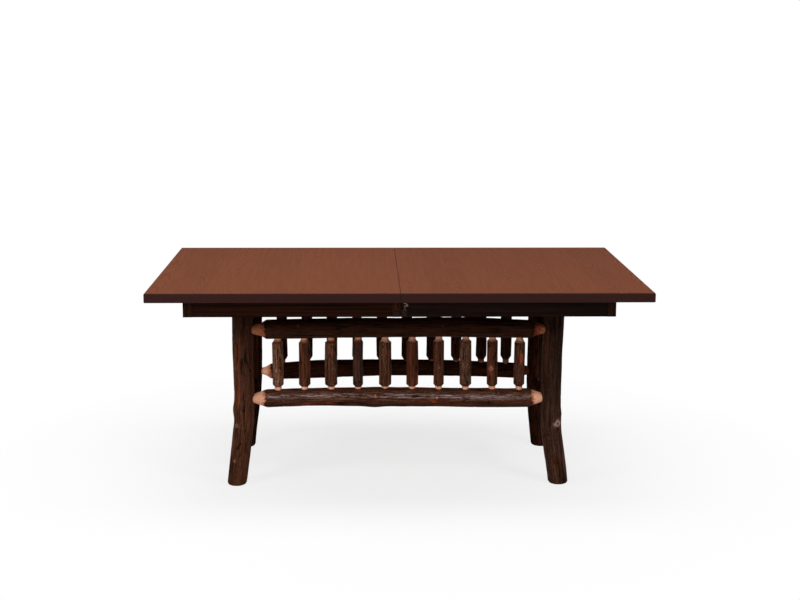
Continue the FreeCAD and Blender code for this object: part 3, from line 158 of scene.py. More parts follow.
def stage_floor():
    """One flat square on z = 0 whose shader blends to white with the distance from the table."""
    half = FLOOR_SIZE / 2
    mesh = bpy.data.meshes.new("studio_floor")
    corners = [(-half, -half, 0), (half, -half, 0), (half, half, 0), (-half, half, 0)]
    mesh.from_pydata(corners, [], [(0, 1, 2, 3)])
    floor = bpy.data.objects.new("studio_floor", mesh)
    bpy.context.scene.collection.objects.link(floor)
    material, tree, shader = new_material("studio_floor_white_paper")
    fill(tree, shader, {"Base Color": linear("#f4f4f4"), "Roughness": 0.9, "Specular IOR Level": 0.1})
    place = add_node(tree, "TexCoord").outputs["Object"]
    distance = add_node(tree, "VectorMath", {0: place}, operation="LENGTH").outputs["Value"]
    fade = add_node(tree, "MapRange", {"Value": distance, "From Min": SHADOW_NEAR, "From Max": SHADOW_FAR,
                                       "To Min": SHADOW_WHITE, "To Max": 1.0})
    share = add_node(tree, "Math", {0: seen_directly(tree), 1: fade}, operation="MULTIPLY")
    white = add_node(tree, "Emission", {"Color": (1, 1, 1, 1), "Strength": 1.0})
    mixed = add_node(tree, "MixShader", {0: share, 1: shader, 2: white})
    output = next(node for node in tree.nodes if node.bl_idname == "ShaderNodeOutputMaterial")
    fill(tree, output, {"Surface": mixed})
    mesh.materials.append(material)


def soft_world(strength):
    """White to the camera and in reflections, and a dimmer even light for everything else."""
    world = bpy.data.worlds.new("studio_world")
    bpy.context.scene.world = world
    world.use_nodes = True
    tree = world.node_tree
    tree.nodes.clear()
    level = add_node(tree, "MapRange", {"Value": seen_directly(tree), "To Min": strength, "To Max": 1.0})
    light = add_node(tree, "Background", {"Color": (1, 1, 1, 1), "Strength": level})
    add_node(tree, "OutputWorld", {"Surface": light})


def soft_lamp(name, place, target, size, watts):
    """A square area lamp at a place, facing a target. Its axes come from the way between the two."""
    data = bpy.data.lights.new(name, "AREA")
    data.shape = "RECTANGLE"
    data.size, data.size_y = size
    data.energy = watts
    lamp = bpy.data.objects.new(name, data)
    bpy.context.scene.collection.objects.link(lamp)
    away = np.array(place, float) - np.array(target, float)
    away /= np.linalg.norm(away)
    side = np.cross([0.0, 1.0, 0.0] if abs(away[2]) > 0.95 else [0.0, 0.0, 1.0], away)
    side /= np.linalg.norm(side)
    pose = np.eye(4)
    pose[:3, 0], pose[:3, 1], pose[:3, 2], pose[:3, 3] = side, np.cross(away, side), away, place
    lamp.matrix_world = Matrix(pose.tolist())


stage_floor()
soft_world(WORLD_LIGHT)
for lamp_facts in LAMPS:
    soft_lamp(*lamp_facts)

# %% [markdown]
# ## A skin for any pole
# A pole is a row of rings along its length. Each ring has a centre, a radius and a bump at every angle,
# so the whole skin is one grid of two parameters: the way along the pole and the angle round it. Writing it
# this way keeps the seam closed, and every point knows where it is on the pole, which the bark needs.
# The two ends close in one point each.

# %% Grid skin
def skin_faces(rings, around):
    """Corner numbers of the skin: a quad between each pair of rings and angles, and a fan at each end."""
    ring = np.arange(rings - 1)[:, None] * around
    angle = np.arange(around)[None, :]
    following = (angle + 1) % around
    quads = np.stack([ring + angle, ring + following, ring + around + following, ring + around + angle], -1)
    first, last = rings * around, rings * around + 1
    turn = np.arange(around)
    after = (turn + 1) % around
    start_fan = np.stack([np.full(around, first), after, turn], -1)
    end_ring = (rings - 1) * around
    end_fan = np.stack([np.full(around, last), end_ring + turn, end_ring + after], -1)
    return quads.reshape(-1, 4), np.concatenate([start_fan, end_fan])


class Skin:
    """Gathers the points, faces and point values of one or more poles into one mesh."""

    def __init__(self):
        self.points, self.quads, self.fans, self.values, self.count = [], [], [], {}, 0

    def add(self, points, ends, values):
        """Adds a pole: points is rings by angles by 3, ends its two closing points, values per point."""
        rings, around = points.shape[:2]
        quads, fans = skin_faces(rings, around)
        self.points += [points.reshape(-1, 3), np.array(ends)]
        self.quads.append(quads + self.count)
        self.fans.append(fans + self.count)
        for name, value in values.items():
            flat = value.reshape(rings * around, -1)
            closed = np.concatenate([flat, flat[:1], flat[-1:]])
            self.values.setdefault(name, []).append(closed)
        self.count += rings * around + 2

    def make(self, node, material, body):
        """Turns what was gathered into an object that rides on a body and stands for a CAD node."""
        name = f"bark_{node}"
        points = np.concatenate(self.points) * MM
        quads, fans = np.concatenate(self.quads), np.concatenate(self.fans)
        mesh = bpy.data.meshes.new(name)
        mesh.vertices.add(len(points))
        mesh.vertices.foreach_set("co", points.astype(np.float32).ravel())
        mesh.loops.add(quads.size + fans.size)
        corners = np.concatenate([quads.ravel(), fans.ravel()])
        mesh.loops.foreach_set("vertex_index", corners.astype(np.int32))
        mesh.polygons.add(len(quads) + len(fans))
        starts = np.concatenate([np.arange(len(quads)) * 4, quads.size + np.arange(len(fans)) * 3])
        mesh.polygons.foreach_set("loop_start", starts.astype(np.int32))
        mesh.update(calc_edges=True)
        mesh.validate()
        for label, parts in self.values.items():
            value = np.concatenate(parts).astype(np.float32)
            kind = "FLOAT" if value.shape[1] == 1 else "FLOAT_VECTOR"
            layer = mesh.attributes.new(label, kind, "POINT")
            layer.data.foreach_set("value" if kind == "FLOAT" else "vector", value.ravel())
        mesh.shade_smooth()
        mesh.materials.append(material)
        piece = bpy.data.objects.new(name, mesh)
        bpy.context.scene.collection.objects.link(piece)
        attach(piece, body)
        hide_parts(node)
        print(name, "has", len(quads) * 2 + len(fans), "triangles")


# %% [markdown]
# ## Hickory bark
# The bark of a young hickory is a sheaf of long strands that part and join again, with narrow furrows
# between some of them. Smooth noise that is stretched along the pole gives the strands. A wider noise
# passes through zero along long thin lines, and the furrows are cut there. A finer one lays fibres on
# the strands, and a slow one makes the pole swell and dip. Each pole draws its random numbers from a seed
# of its own.

# %% Bark relief
def smooth_step(value):
    """Goes from 0 to 1 as 3t^2 - 2t^3."""
    t = np.clip(value, 0.0, 1.0)
    return t * t * (3 - 2 * t)


def lattice_noise(rng, along, angle, cell_along, cell_round, girth):
    """Noise between -1 and 1 on a pole's skin, in cells of a real size in mm.

    Random values sit on a lattice that closes on itself round the pole. Each of its columns is shifted
    along by its own amount, so that the cells never line up in rows. Each point blends its four
    neighbours, weighted by the smooth step of its place in the cell.
    """
    columns = max(3, int(round(girth / cell_round)))
    down = (along - along.min()) / cell_along
    lattice = rng.uniform(-1, 1, (int(down.max()) + 4, columns))
    shift = rng.uniform(0, 1, columns)
    over = angle / (2 * np.pi) * columns
    j = np.floor(over).astype(int)
    v = smooth_step(over - j)

    def column(k):
        place = down + shift[k]
        i = np.floor(place).astype(int)
        u = smooth_step(place - i)
        return lattice[i, k] * (1 - u) + lattice[i + 1, k] * u

    return column(j % columns) * (1 - v) + column((j + 1) % columns) * v


def bark(seed, along, angle, radius, depth, ridge):
    """Height in mm and relief from 0, in a furrow, to 1, on a ridge, over a pole's grid.

    The grid is first bent a little by slow noise. Strands are noise sixteen times as long as wide; fibres
    are the same at half the width. A furrow is a narrow line where a wider noise is near 0. Relief is
    0.58 + 0.3 strands + 0.24 fibres - 0.36 furrow. Height is depth times relief, less its mean, plus the
    pole's slow swelling.
    """
    rng = np.random.default_rng(seed)
    girth = 2 * np.pi * radius
    bent_along = along + 9 * lattice_noise(rng, along, angle, 60, 30, girth)
    bent_angle = angle + 3.0 / radius * lattice_noise(rng, along, angle, 90, 28, girth)
    strands = lattice_noise(rng, bent_along, bent_angle, 16 * ridge, ridge, girth)
    fibres = lattice_noise(rng, bent_along, bent_angle, 8 * ridge, 0.5 * ridge, girth)
    plates = lattice_noise(rng, bent_along, bent_angle, 13 * ridge, 2.1 * ridge, girth)
    swell = lattice_noise(rng, along, angle, 150, 70, girth)
    furrow = 1 - smooth_step(np.abs(plates) / 0.14)
    relief = np.clip(0.58 + 0.3 * strands + 0.24 * fibres - 0.36 * furrow, 0, 1)
    height = depth * (relief - relief.mean()) + 1.1 * swell
    return height, relief


# %% [markdown]
# ## One pole from its facts
# Every pole is a profile carried along a path: the profile gives the radius at each place along the pole,
# and the path gives the centre. The bark covers only part of it. Past the bark the knife has left bare
# wood, tinted red close to the bark by the inner bark. Knots are round rises, some with a pale heart. Three
# numbers go with each point of the bark: how red, how grey and how light it is. Besides the bark's own
# tone, the lightness holds painted shade and painted light, and a grey above 1 is a painted sheen.

# %% Places, knots and tint on a pole
# The two directions across each axis; an angle on a pole runs from the first to the second.
ACROSS = {
    "x": (np.array([0, 1, 0]), np.array([0, 0, 1])),
    "y": (np.array([0, 0, 1]), np.array([1, 0, 0])),
    "z": (np.array([1, 0, 0]), np.array([0, 1, 0])),
}


def steps_along(marks, step):
    """Places along a pole: every mark, and even steps of about one size between the marks."""
    parts = []
    for start, end in zip(marks[:-1], marks[1:]):
        count = max(1, int(np.ceil(abs(end - start) / step)))
        parts.append(np.linspace(start, end, count, endpoint=False))
    return np.concatenate(parts + [[marks[-1]]])


def round_distance(angle, way, radius):
    """How far round the pole each point lies from an angle, the shorter way, in the radius's unit."""
    return np.angle(np.exp(1j * (angle - way))) * radius


def knot_rise(knots, along, angle, radius, rough):
    """Height in mm that the knots add, and how pale they make each point.

    A knot is (place, angle, size, height, pale) and adds height * exp(-distance^2 / size^2). Its pale
    part is lens-shaped and uneven: a ring at 0.42 of its size, or a filled spot for a pale above 1.
    """
    rise, value = np.zeros_like(along), np.zeros_like(along)
    for place, way, size, height, pale in knots:
        turn = round_distance(angle, way, radius)
        rise += height * np.exp(-((along - place) ** 2 + turn ** 2) / size ** 2)
        lens = (np.abs(along - place) ** 1.2 + np.abs(turn) ** 1.2) ** (1 / 1.2) / size * (1 + 0.3 * rough)
        ring_size = 0.42 if pale <= 1 else 0.0
        value = np.maximum(value, pale * np.exp(-((lens - ring_size) / 0.3) ** 2))
    return rise, value


def bark_tint(colour, along, angle, radius, painted_sheen, painted_shade, outside, patches):
    """How red, grey and light the bark is over a pole's grid, from the pole's own colour.

    The sheen side is (angle, width in radians): there the grey skin and a painted sheen show most, and
    painted shade darkens the bark on the side away from it. The shade table gives how light the bark is
    painted at places along the pole, as painted shade and light. The outside is (angle, gain): bark that
    faces out there is painted lighter. A patch of red inner bark is (place, angle, length, width, strength)
    and fades as exp of minus the squared distance in those sizes.
    """
    tint = np.array(np.broadcast_to(np.array(colour, float), (*along.shape, 3)))
    if painted_sheen is not None:
        away = round_distance(angle, painted_sheen[0], 1.0) / painted_sheen[1]
        # The grey rises on the sheen side, where a grey above 1 shows as painted sheen; the side away gets
        # painted shade.
        tint[..., 1] *= 0.2 + 1.3 * np.exp(-away ** 2)
        tint[..., 2] *= 0.66 + 0.34 * np.cos(angle - painted_sheen[0] + 0.4)
    # Painted shade and light along the pole, then painted light on the side that faces out.
    tint[..., 2] *= np.interp(along, *np.array(painted_shade, float).T)
    tint[..., 2] *= 1 + outside[1] * np.clip(np.cos(angle - outside[0]), 0, 1)
    for place, way, length, width, strength in patches:
        turn = round_distance(angle, way, radius)
        tint[..., 0] += strength * np.exp(-((along - place) / length) ** 2 - (turn / width) ** 2)
    return tint


# %% Pole grid
def add_pole(skin, axis, profile, bark_span, centre, seed, around, step, depth, ridge, colour, fade,
             knots=(), flush=(0.0, 0.0), edge=2.5, redness=(14.0, 14.0), slant=((0.0, 0.0), (0.0, 0.0)),
             painted_sheen=None, patches=(), painted_shade=((0.0, 1.0), (1.0, 1.0)), wood=(1.0, 1.0), outside=(0.0, 0.0)):
    """Adds one pole to a skin, all its lengths in mm.

    A point is centre(s) + (radius(s) + bump) * (cos a * A + sin a * B), where A and B are the two
    directions across the axis. The profile is (place, radius) pairs in mm, joined by straight lines. The
    bark's relief fades out at both ends of the bark's span. The knife left each edge slanted, by (mm, angle
    where the bark reaches furthest). Past the bark the red stain falls from flush to 0 over the redness of
    that end, and a pair gives how light the bare wood is painted at each end, low end first: painted light
    and shade.
    """
    marks = np.array(profile, float)
    along_line = steps_along(marks[:, 0], step)
    radius_line = np.interp(along_line, marks[:, 0], marks[:, 1])
    angles = np.arange(around) * 2 * np.pi / around
    along, angle = np.meshgrid(along_line, angles, indexing="ij")
    radius = np.repeat(radius_line[:, None], around, 1)
    widest = marks[:, 1].max()
    height, relief = bark(seed, along, angle, widest, depth, ridge)
    rough = lattice_noise(np.random.default_rng(seed + 7), along, angle, 14, 7, 2 * np.pi * widest)
    ragged = along + edge * rough

    (low_slant, low_way), (high_slant, high_way) = slant
    low = bark_span[0] - low_slant * np.cos(angle - low_way)
    high = bark_span[1] + high_slant * np.cos(angle - high_way)
    at_low = along < (low + high) / 2
    inside = np.minimum(ragged - low, high - ragged)
    covered = smooth_step((inside + fade / 2) / fade)
    past_low = np.clip(1 - (low - ragged) / redness[0], 0, 1) * flush[0]
    past_high = np.clip(1 - (ragged - high) / redness[1], 0, 1) * flush[1]

    rise, pale = knot_rise(knots, along, angle, radius, rough)
    bump = height * covered + 0.25 * rough * (1 - covered) + rise
    first, second = ACROSS[axis]
    way_out = np.cos(angle)[..., None] * first + np.sin(angle)[..., None] * second
    middle = centre(along_line)
    points = middle[:, None, :] + (radius + bump)[..., None] * way_out
    straight = np.stack([np.cos(angle) * radius, np.sin(angle) * radius, along + seed * 1000.0], -1) * MM
    tint = bark_tint(colour, along, angle, radius, painted_sheen, painted_shade, outside, patches)
    # Bare wood takes its painted light and shade in place of the bark's lightness.
    tint[..., 2] += (np.where(at_low, *wood) - tint[..., 2]) * (1 - covered)
    skin.add(points, (middle[0], middle[-1]), {
        "relief": relief, "bare": 1 - covered, "stain": np.where(at_low, past_low, past_high), "knot": pale,
        "pole": straight, "tint": tint,
    })


def bend(places, values):
    """A smooth line through values at given places: the cubic that keeps each point's mean slope."""
    places, values = np.array(places, float), np.array(values, float)
    slopes = np.gradient(values, places)

    def at(s):
        s = np.clip(s, places[0], places[-1])
        i = np.clip(np.searchsorted(places, s) - 1, 0, len(places) - 2)
        width = places[i + 1] - places[i]
        t = (s - places[i]) / width
        keep = (1 + 2 * t) * (1 - t) ** 2 * values[i] + t ** 2 * (3 - 2 * t) * values[i + 1]
        lean = t * (1 - t) ** 2 * slopes[i] - t ** 2 * (1 - t) * slopes[i + 1]
        return keep + lean * width
    return at


# %% [markdown]
# ## The finish of the poles
# Rustic hickory is sprayed with clear lacquer over bark and bare wood alike. The furrows stay almost
# black, the ridges are brown, with grey weathered skin and reddish inner bark showing in places,
# and the lacquer puts a soft sheen on each ridge. On the front lower rail a painted sheen and painted
# highlights are laid into the colour as well. The bare tapers are pale tan sapwood with fine lines along
# the pole. Both finishes share one material, because the bark's edge is ragged: a value on the mesh says
# how bare each point is.

# %% Layers of colour
def scaled_noise(tree, vector, size_mm, detail=2.0, roughness=0.5):
    """Noise whose cells have a real size in mm along each of the three directions."""
    scale = [1 / (side * MM) for side in size_mm]
    mapping = add_node(tree, "Mapping", {"Vector": vector, "Scale": scale})
    look = {"Scale": 1.0, "Detail": detail, "Roughness": roughness}
    return add_node(tree, "TexNoise", {"Vector": mapping, **look})


def shown(tree, value, low, high, start=0.0, end=1.0, times=()):
    """How strongly a layer shows: from start to end, eased, while a value goes from low to high.

    The result is multiplied by each of the further values, such as how grey the pole is there.
    """
    limits = {"Value": value, "From Min": low, "From Max": high, "To Min": start, "To Max": end}
    share = add_node(tree, "MapRange", limits, interpolation_type="SMOOTHSTEP")
    for factor in times:
        share = add_node(tree, "Math", {0: share, 1: factor}, operation="MULTIPLY")
    return share


def lay(tree, ground, layers):
    """Lays colours over a ground, one after another: below * (1 - share) + colour * share."""
    for share, colour in layers:
        below, above = (linear(one) if isinstance(one, str) else one for one in (ground, colour))
        ground = add_node(tree, "Mix", {0: share, 6: below, 7: above}, data_type="RGBA").outputs[2]
    return ground


# %% Bark and bare wood
def painted_sheen_threads(tree, pole, sheen_share, flake):
    """Painted highlight threads on the sheen side: where a long noise is within 0.045 of its middle."""
    wave = scaled_noise(tree, pole, (3.4, 3.4, 85))
    thread = add_node(tree, "Math", {0: wave, 1: 0.5}, operation="SUBTRACT")
    thread = add_node(tree, "Math", {0: thread}, operation="ABSOLUTE")
    return shown(tree, thread, 0.012, 0.045, 1.0, 0.0, times=[sheen_share, shown(tree, flake, 0.36, 0.56)])


def bark_colour(tree, pole, relief, red, grey, fibre, flake):
    """Bark colours laid one over another on the ridges, with near-black furrows between them."""
    strand = shown(tree, scaled_noise(tree, pole, (4.5, 4.5, 110)), 0.32, 0.68)
    fleck = scaled_noise(tree, pole, (3, 3, 10))
    cloud = scaled_noise(tree, pole, (18, 18, 120))
    # A grey above 1 is painted sheen: a lavender tint on the weathered skin and pale threads of painted
    # highlight.
    sheen_share = shown(tree, grey, 1.0, 1.5)
    ashen = lay(tree, "#2f201c", [(strand, "#4f3833")])
    weathered_and_sheen = lay(tree, "#8a6852", [(sheen_share, "#80625f")])
    ridge = lay(tree, "#3c2013", [
        (strand, "#5c3424"),
        (shown(tree, cloud, 0.42, 0.66, times=[red]), "#7a3a22"),
        # The brightest red is inner bark laid bare, and a redness below 0 makes the skin ashen.
        (shown(tree, red, 0.8, 2.0, 0.0, 0.9), "#cc5122"),
        (shown(tree, red, 0.0, -0.6), ashen),
        (shown(tree, flake, 0.44, 0.62, times=[grey, relief]), weathered_and_sheen),
        (shown(tree, fleck, 0.56, 0.70, 0.0, 0.55, times=[grey]), "#a98a6c"),
        (shown(tree, fibre, 0.3, 0.62, 0.5, 0.0), "#2a150c"),
        # Painted highlight threads on the sheen side.
        (painted_sheen_threads(tree, pole, sheen_share, flake), "#c9b6ba"),
    ])
    return lay(tree, "#20110b", [(shown(tree, relief, 0.05, 0.55), ridge)])


def peeled_colour(tree, pole, stain):
    """Pale sapwood in fine lines, with red brown stain that seeps out from the bark in blotches."""
    line = scaled_noise(tree, pole, (1.3, 1.3, 40))
    blotch = scaled_noise(tree, pole, (6, 6, 12))
    seep = add_node(tree, "Math", {0: blotch, 1: 0.7, 2: stain}, operation="MULTIPLY_ADD")
    return lay(tree, "#e2a98a", [
        (shown(tree, line, 0.35, 0.7), "#c6886b"),
        (shown(tree, seep, 0.42, 0.85, 0.0, 0.9), "#9e5a3c"),
        (shown(tree, seep, 0.95, 1.3, 0.0, 0.9), "#6a2618"),
    ])


def hickory_material(name, sheen):
    """Lacquered hickory: bark colours by relief, bare wood where the bark was cut away, and knot hearts."""
    material, tree, shader = new_material(name)
    carried = [add_node(tree, "Attribute", attribute_name=value).outputs
               for value in ("pole", "tint", "relief", "bare", "stain", "knot")]
    pole, tint = (outputs["Vector"] for outputs in carried[:2])
    relief, bare, stain, knot = (outputs["Fac"] for outputs in carried[2:])
    red, grey, light = add_node(tree, "SeparateXYZ", {0: tint}).outputs
    fibre = scaled_noise(tree, pole, (1.8, 1.8, 40), detail=3.0, roughness=0.6)
    flake = scaled_noise(tree, pole, (4, 4, 60), detail=3.0, roughness=0.6)
    # A knot above 1 is a filled pale spot; on the front lower rail these spots are painted highlights.
    heart = lay(tree, "#c08069", [(shown(tree, knot, 0.65, 0.95), "#b3aab0"),
                                  (shown(tree, knot, 1.05, 1.25), "#dcb59e")])
    colour = lay(tree, bark_colour(tree, pole, relief, red, grey, fibre, flake), [
        (shown(tree, bare, 0.35, 0.65), peeled_colour(tree, pole, stain)),
        (shown(tree, flake, 0.3, 0.6, 0.5, 1.0, times=[knot]), heart),
    ])
    # The lightness, which holds painted shade and light, scales the whole colour.
    colour = add_node(tree, "VectorMath", {0: colour, "Scale": light}, operation="SCALE")
    grit = add_node(tree, "Math", {0: fibre, 1: 0.6, 2: flake}, operation="MULTIPLY_ADD")
    dents = add_node(tree, "Bump", {"Height": grit, "Distance": 0.9 * MM, "Strength": 0.8})
    fill(tree, shader, {"Base Color": colour, "Roughness": shown(tree, relief, 0.0, 1.0, 0.8, 0.6),
                        "IOR": 1.5, "Specular IOR Level": sheen, "Normal": dents})
    return material


hickory = hickory_material("hickory_sapling_bark_clear_lacquer", 0.02)
# The ends and the back got no second coat of lacquer, so they stay dull even at a glancing view.
dull_hickory = hickory_material("hickory_sapling_bark_one_coat_dull", 0.0)
print("Pole finishes:", hickory.name, "and", dull_hickory.name)

# %% [markdown]
# ## The four legs
# Each leg is a sapling 75 mm thick that stands upright and kicks outwards near the floor. In the
# photograph the two front legs also sway by a few millimetres, have small swellings, and the right one
# has a pale bare knot. The path takes the kick from the same power law as the CAD leg, plus a table of
# sways.

# %% Legs
LEG_X, FRAME_Y = 563.0, 235.0
LEG_TOP, LEG_TENON_LENGTH = 666.0, 24.5
LEG_RADIUS, FOOT_RADIUS, LEG_TENON_RADIUS = 37.5, 36.0, 19.0
FLARE_HEIGHT, FOOT_KICK, FOOT_SPLAY, FLARE_POWER = 277.0, 28.0, 17.0, 1.3
# Two marks of a profile never share a place, so a shoulder takes this much of the length.
SHOULDER = 0.01
LEG_PROFILE = (
    (0.0, FOOT_RADIUS - 8.0), (2.0, FOOT_RADIUS - 3.5), (8.0, FOOT_RADIUS),
    (LEG_TOP - SHOULDER, LEG_RADIUS), (LEG_TOP, LEG_TENON_RADIUS),
    (LEG_TOP + LEG_TENON_LENGTH, LEG_TENON_RADIUS),
)
LEG_BARK = (1.0, LEG_TOP - 0.5)
LEG_SEED = 11
# How far the centre stands off to the right of the leg's axis, by height.
LEG_SWAY = {
    "front_left": ((0, -1.8), (60, -2.2), (125, -2.0), (200, -1.0), (235, 0.5), (272, -2.0), (330, 0.8),
                   (380, 0.7), (480, -2.2), (600, -1.5), (672, 0.0)),
    "front_right": ((0, -0.5), (60, 0.2), (125, -1.3), (198, -4.4), (236, -4.2), (273, -3.2), (380, -2.1),
                    (517, -0.4), (600, 2.0), (672, 3.5)),
    "back_left": ((0, -8.0), (60, -8.0), (125, -7.0), (200, -5.0), (300, -3.0), (450, -2.0), (672, 0.0)),
    "back_right": ((0, -6.0), (60, -6.0), (125, -5.0), (200, -3.5), (300, -2.0), (450, -1.0), (672, 0.0)),
}
# These are values for add_pole. A patch whose strength is below 0 is an ashen streak. The shade tables
# paint shade and light: the bark is painted darker high on a leg, under the apron, and lighter where it
# bends. The back legs are painted darker all round, as shade under the table, and lighter on the side
# that faces out, as painted light.
BACK_LEG = dict(colour=(0.35, 0.15, 0.50), painted_shade=((0, 1.0), (672, 0.8)), outside=(np.pi / 2, 0.8))
LEG_LOOKS = {
    "front_left": dict(
        colour=(0.30, 0.30, 0.92),
        painted_shade=((0, 1.0), (110, 1.0), (230, 1.04), (330, 0.95), (420, 0.82), (520, 0.78), (580, 0.42),
               (672, 0.4)),
        knots=((278, np.pi, 24, 3.2, 0.0), (224, -2.3, 14, 1.2, 0.45), (330, -1.2, 16, 1.5, 0.0),
               (94, -2.1, 10, 0.8, 0.5), (520, -1.9, 18, 1.6, 0.0)),
        patches=((320, -2.15, 75, 8, 1.0), (480, -2.0, 110, 9, 0.6), (390, -1.45, 160, 12, -0.6),
                 (190, -2.0, 60, 9, -0.7), (120, -1.7, 60, 14, 0.5))),
    "front_right": dict(
        colour=(-0.30, 0.30, 0.92),
        painted_shade=((0, 1.05), (110, 1.0), (200, 0.85), (300, 0.62), (400, 0.5), (520, 0.55), (600, 0.4),
               (672, 0.35)),
        knots=((228, -0.95, 23, 2.0, 1.0), (258, -0.3, 20, 3.4, 0.0), (430, -2.0, 16, 1.6, 0.0)),
        patches=((500, -2.3, 120, 10, 0.5), (60, -1.6, 50, 14, 0.35))),
    "back_left": dict(BACK_LEG, knots=((300, 0.6, 18, 2.0, 0.0), (560, -1.4, 15, 1.5, 0.5))),
    "back_right": dict(BACK_LEG, knots=((240, 2.2, 18, 2.0, 0.0), (500, 1.2, 15, 1.5, 0.6))),
}


def leg_path(side, face, sway):
    """Centre of the leg at height z: the axis plus the foot's kick and splay times (1 - z / 277)^1.3."""
    swing = bend([place for place, _ in sway], [value for _, value in sway])

    def centre(z):
        share = np.clip(1 - z / FLARE_HEIGHT, 0, None) ** FLARE_POWER
        x = LEG_X * side + FOOT_KICK * side * share + swing(z)
        y = FRAME_Y * face + FOOT_SPLAY * face * share
        return np.stack([x, y, z], -1)
    return centre


for number, key in enumerate(LEG_SWAY):
    face = -1 if "front" in key else 1
    side = -1 if "left" in key else 1
    leg_skin = Skin()
    add_pole(leg_skin, "z", LEG_PROFILE, LEG_BARK, leg_path(side, face, LEG_SWAY[key]), LEG_SEED + number,
             around=128, step=2.5, depth=2.2, ridge=6.0, fade=2.0, **LEG_LOOKS[key])
    finish = hickory if face < 0 else dull_hickory
    leg_skin.make(f"leg_{key}", finish, "base")

# %% [markdown]
# ## The rails
# Four long rails and four shorter end rails tie the legs together. Each is a sapling that is not quite
# straight: its height and thickness change from place to place, as the tables give. Both ends are peeled
# to a cone that enters the leg. The path follows the heights, and the bark stops short of each cone.

# %% Rails
LONG_BARK, END_BARK, RAIL_BEVEL = 479.0, 152.0, 17.0
LONG_PEEL, LONG_TENON, END_PEEL, END_TENON = 24.5, 17.5, 22.0, 15.0
# The bark runs on past the rail's even part, and a tenon past the middle of its leg.
BARK_PAST, TENON_PAST = 11.0, 12.0
EVEN_MARKS, RAIL_SEED = 41, 31
RAILS = {
    # axis, place across, height, radius, then (lift, share of the radius) at even places
    "front_top": ("x", -FRAME_Y, 576.0, 36,
                  ((0, .98), (3, 1.0), (5, 1.0), (6, .98), (7.6, .965), (5, .97), (0, .93))),
    "front_bottom": ("x", -FRAME_Y, 319.5, 34,
                     ((0, .95), (5, .95), (5, 1.0), (4, 1.04), (2, 1.0), (0, 1.02), (0, 1.0))),
    "back_top": ("x", FRAME_Y, 577.0, 36,
                 ((0, .95), (3, 1.0), (4, .99), (5, .97), (4, .99), (2, 1.0), (0, .96))),
    "back_bottom": ("x", FRAME_Y, 311.0, 34,
                    ((0, .94), (7, 1.02), (11, .98), (13, .95), (12, .92), (7, .88), (0, .87))),
    "left_top": ("y", -LEG_X, 530.0, 31, ((0, .97), (1, 1.0), (2, 1.01), (1, .98), (0, .95))),
    "left_bottom": ("y", -LEG_X, 273.5, 31, ((0, 1.0), (-1, .97), (-1, .98), (0, 1.01), (0, .99))),
    "right_top": ("y", LEG_X, 530.0, 31, ((0, .95), (1, .98), (2, 1.0), (2, 1.01), (0, .97))),
    "right_bottom": ("y", LEG_X, 273.5, 31, ((0, .98), (1, 1.01), (2, 1.01), (1, .98), (0, .98))),
}
# These are values for add_pole, and those of END_LOOKS hold where a rail has none. The ends of the upper
# rails are stained red brown all over, and those of the front lower one only beside the bark. The front
# upper rail is painted dark, as shade under the apron, and the back and end rails are painted dark too, as
# shade under the table. The front lower rail is grey where it faces up and forward, with a painted sheen
# and two pale spots of painted highlight there, and painted shade on the side away. The lightness of each
# bare end is painted light and shade, and the low end of the back lower rail is the lightest, a painted
# highlight.
RAIL_LOOKS = {
    "front_top": dict(
        colour=(0.2, 0.15, 0.36), flush=(0.8, 0.95), redness=(90.0, 120.0), wood=(0.8, 0.9),
        slant=((-9.0, 3.3), (5.0, 2.0)),
        knots=((-363, 2.65, 8, 1.2, 0.2), (160, 2.85, 9, 1.2, 0.25), (138, 1.6, 15, 3.4, 0.0),
               (266, 1.6, 26, 4.0, 0.0))),
    "front_bottom": dict(
        colour=(0.3, 1.0, 0.86), flush=(0.6, 0.7), redness=(12.0, 12.0), wood=(1.12, 1.3),
        slant=((-5.0, 3.1), (-3.0, 2.3)), painted_sheen=(2.80, 0.42),
        knots=((-86, 2.3, 30, 2.2, 0.0), (-90, 4.5, 34, 3.4, 0.0), (-84, 2.85, 20, 1.0, 1.02),
               (140, 2.95, 17, 1.6, 1.3), (330, 2.0, 26, 2.0, 0.0)),
        patches=((-325, 3.75, 50, 8, 1.1), (-246, 3.7, 42, 8, 1.0), (-84, 3.5, 26, 8, 0.9),
                 (130, 3.35, 12, 8, 1.6), (200, 3.8, 60, 6, 0.5))),
    "back_top": dict(
        colour=(0.3, 0.2, 0.45), flush=(0.9, 0.9), redness=(60.0, 60.0), wood=(0.7, 0.7),
        slant=((3.0, 2.2), (3.0, 0.4)), knots=((-200, -0.4, 18, 1.6, 0.0),)),
    "back_bottom": dict(
        colour=(0.2, 0.1, 0.38), flush=(0.85, 1.0), redness=(20.0, 200.0), wood=(1.85, 0.6),
        slant=((3.0, 1.2), (4.0, 3.3)), knots=((120, 2.8, 22, 1.8, 0.0),)),
    "left_top": dict(slant=((3.0, 4.0), (3.0, 6.0)), knots=((60, 1.4, 14, 1.6, 0.5),)),
    "left_bottom": dict(slant=((3.0, 5.0), (3.0, 7.0)), knots=((-70, 1.7, 16, 1.6, 0.0),)),
    "right_top": dict(slant=((3.0, 6.0), (3.0, 8.0)), knots=((-40, -1.5, 14, 1.6, 0.4),)),
    "right_bottom": dict(slant=((3.0, 7.0), (3.0, 9.0)), knots=((80, 1.2, 16, 1.6, 0.0),)),
}
END_LOOKS = dict(colour=(0.4, 0.3, 0.5), flush=(0.9, 0.9), redness=(90.0, 90.0), wood=(0.7, 0.7))
# Painted light on the side that each frame turns outwards: the angle on the pole, and the gain.
RAIL_PAINTED_LIGHT = {
    "front": (0.0, 0.0), "back": (0.0, 1.0), "left": (-np.pi / 2, 0.7), "right": (np.pi / 2, 0.7),
}
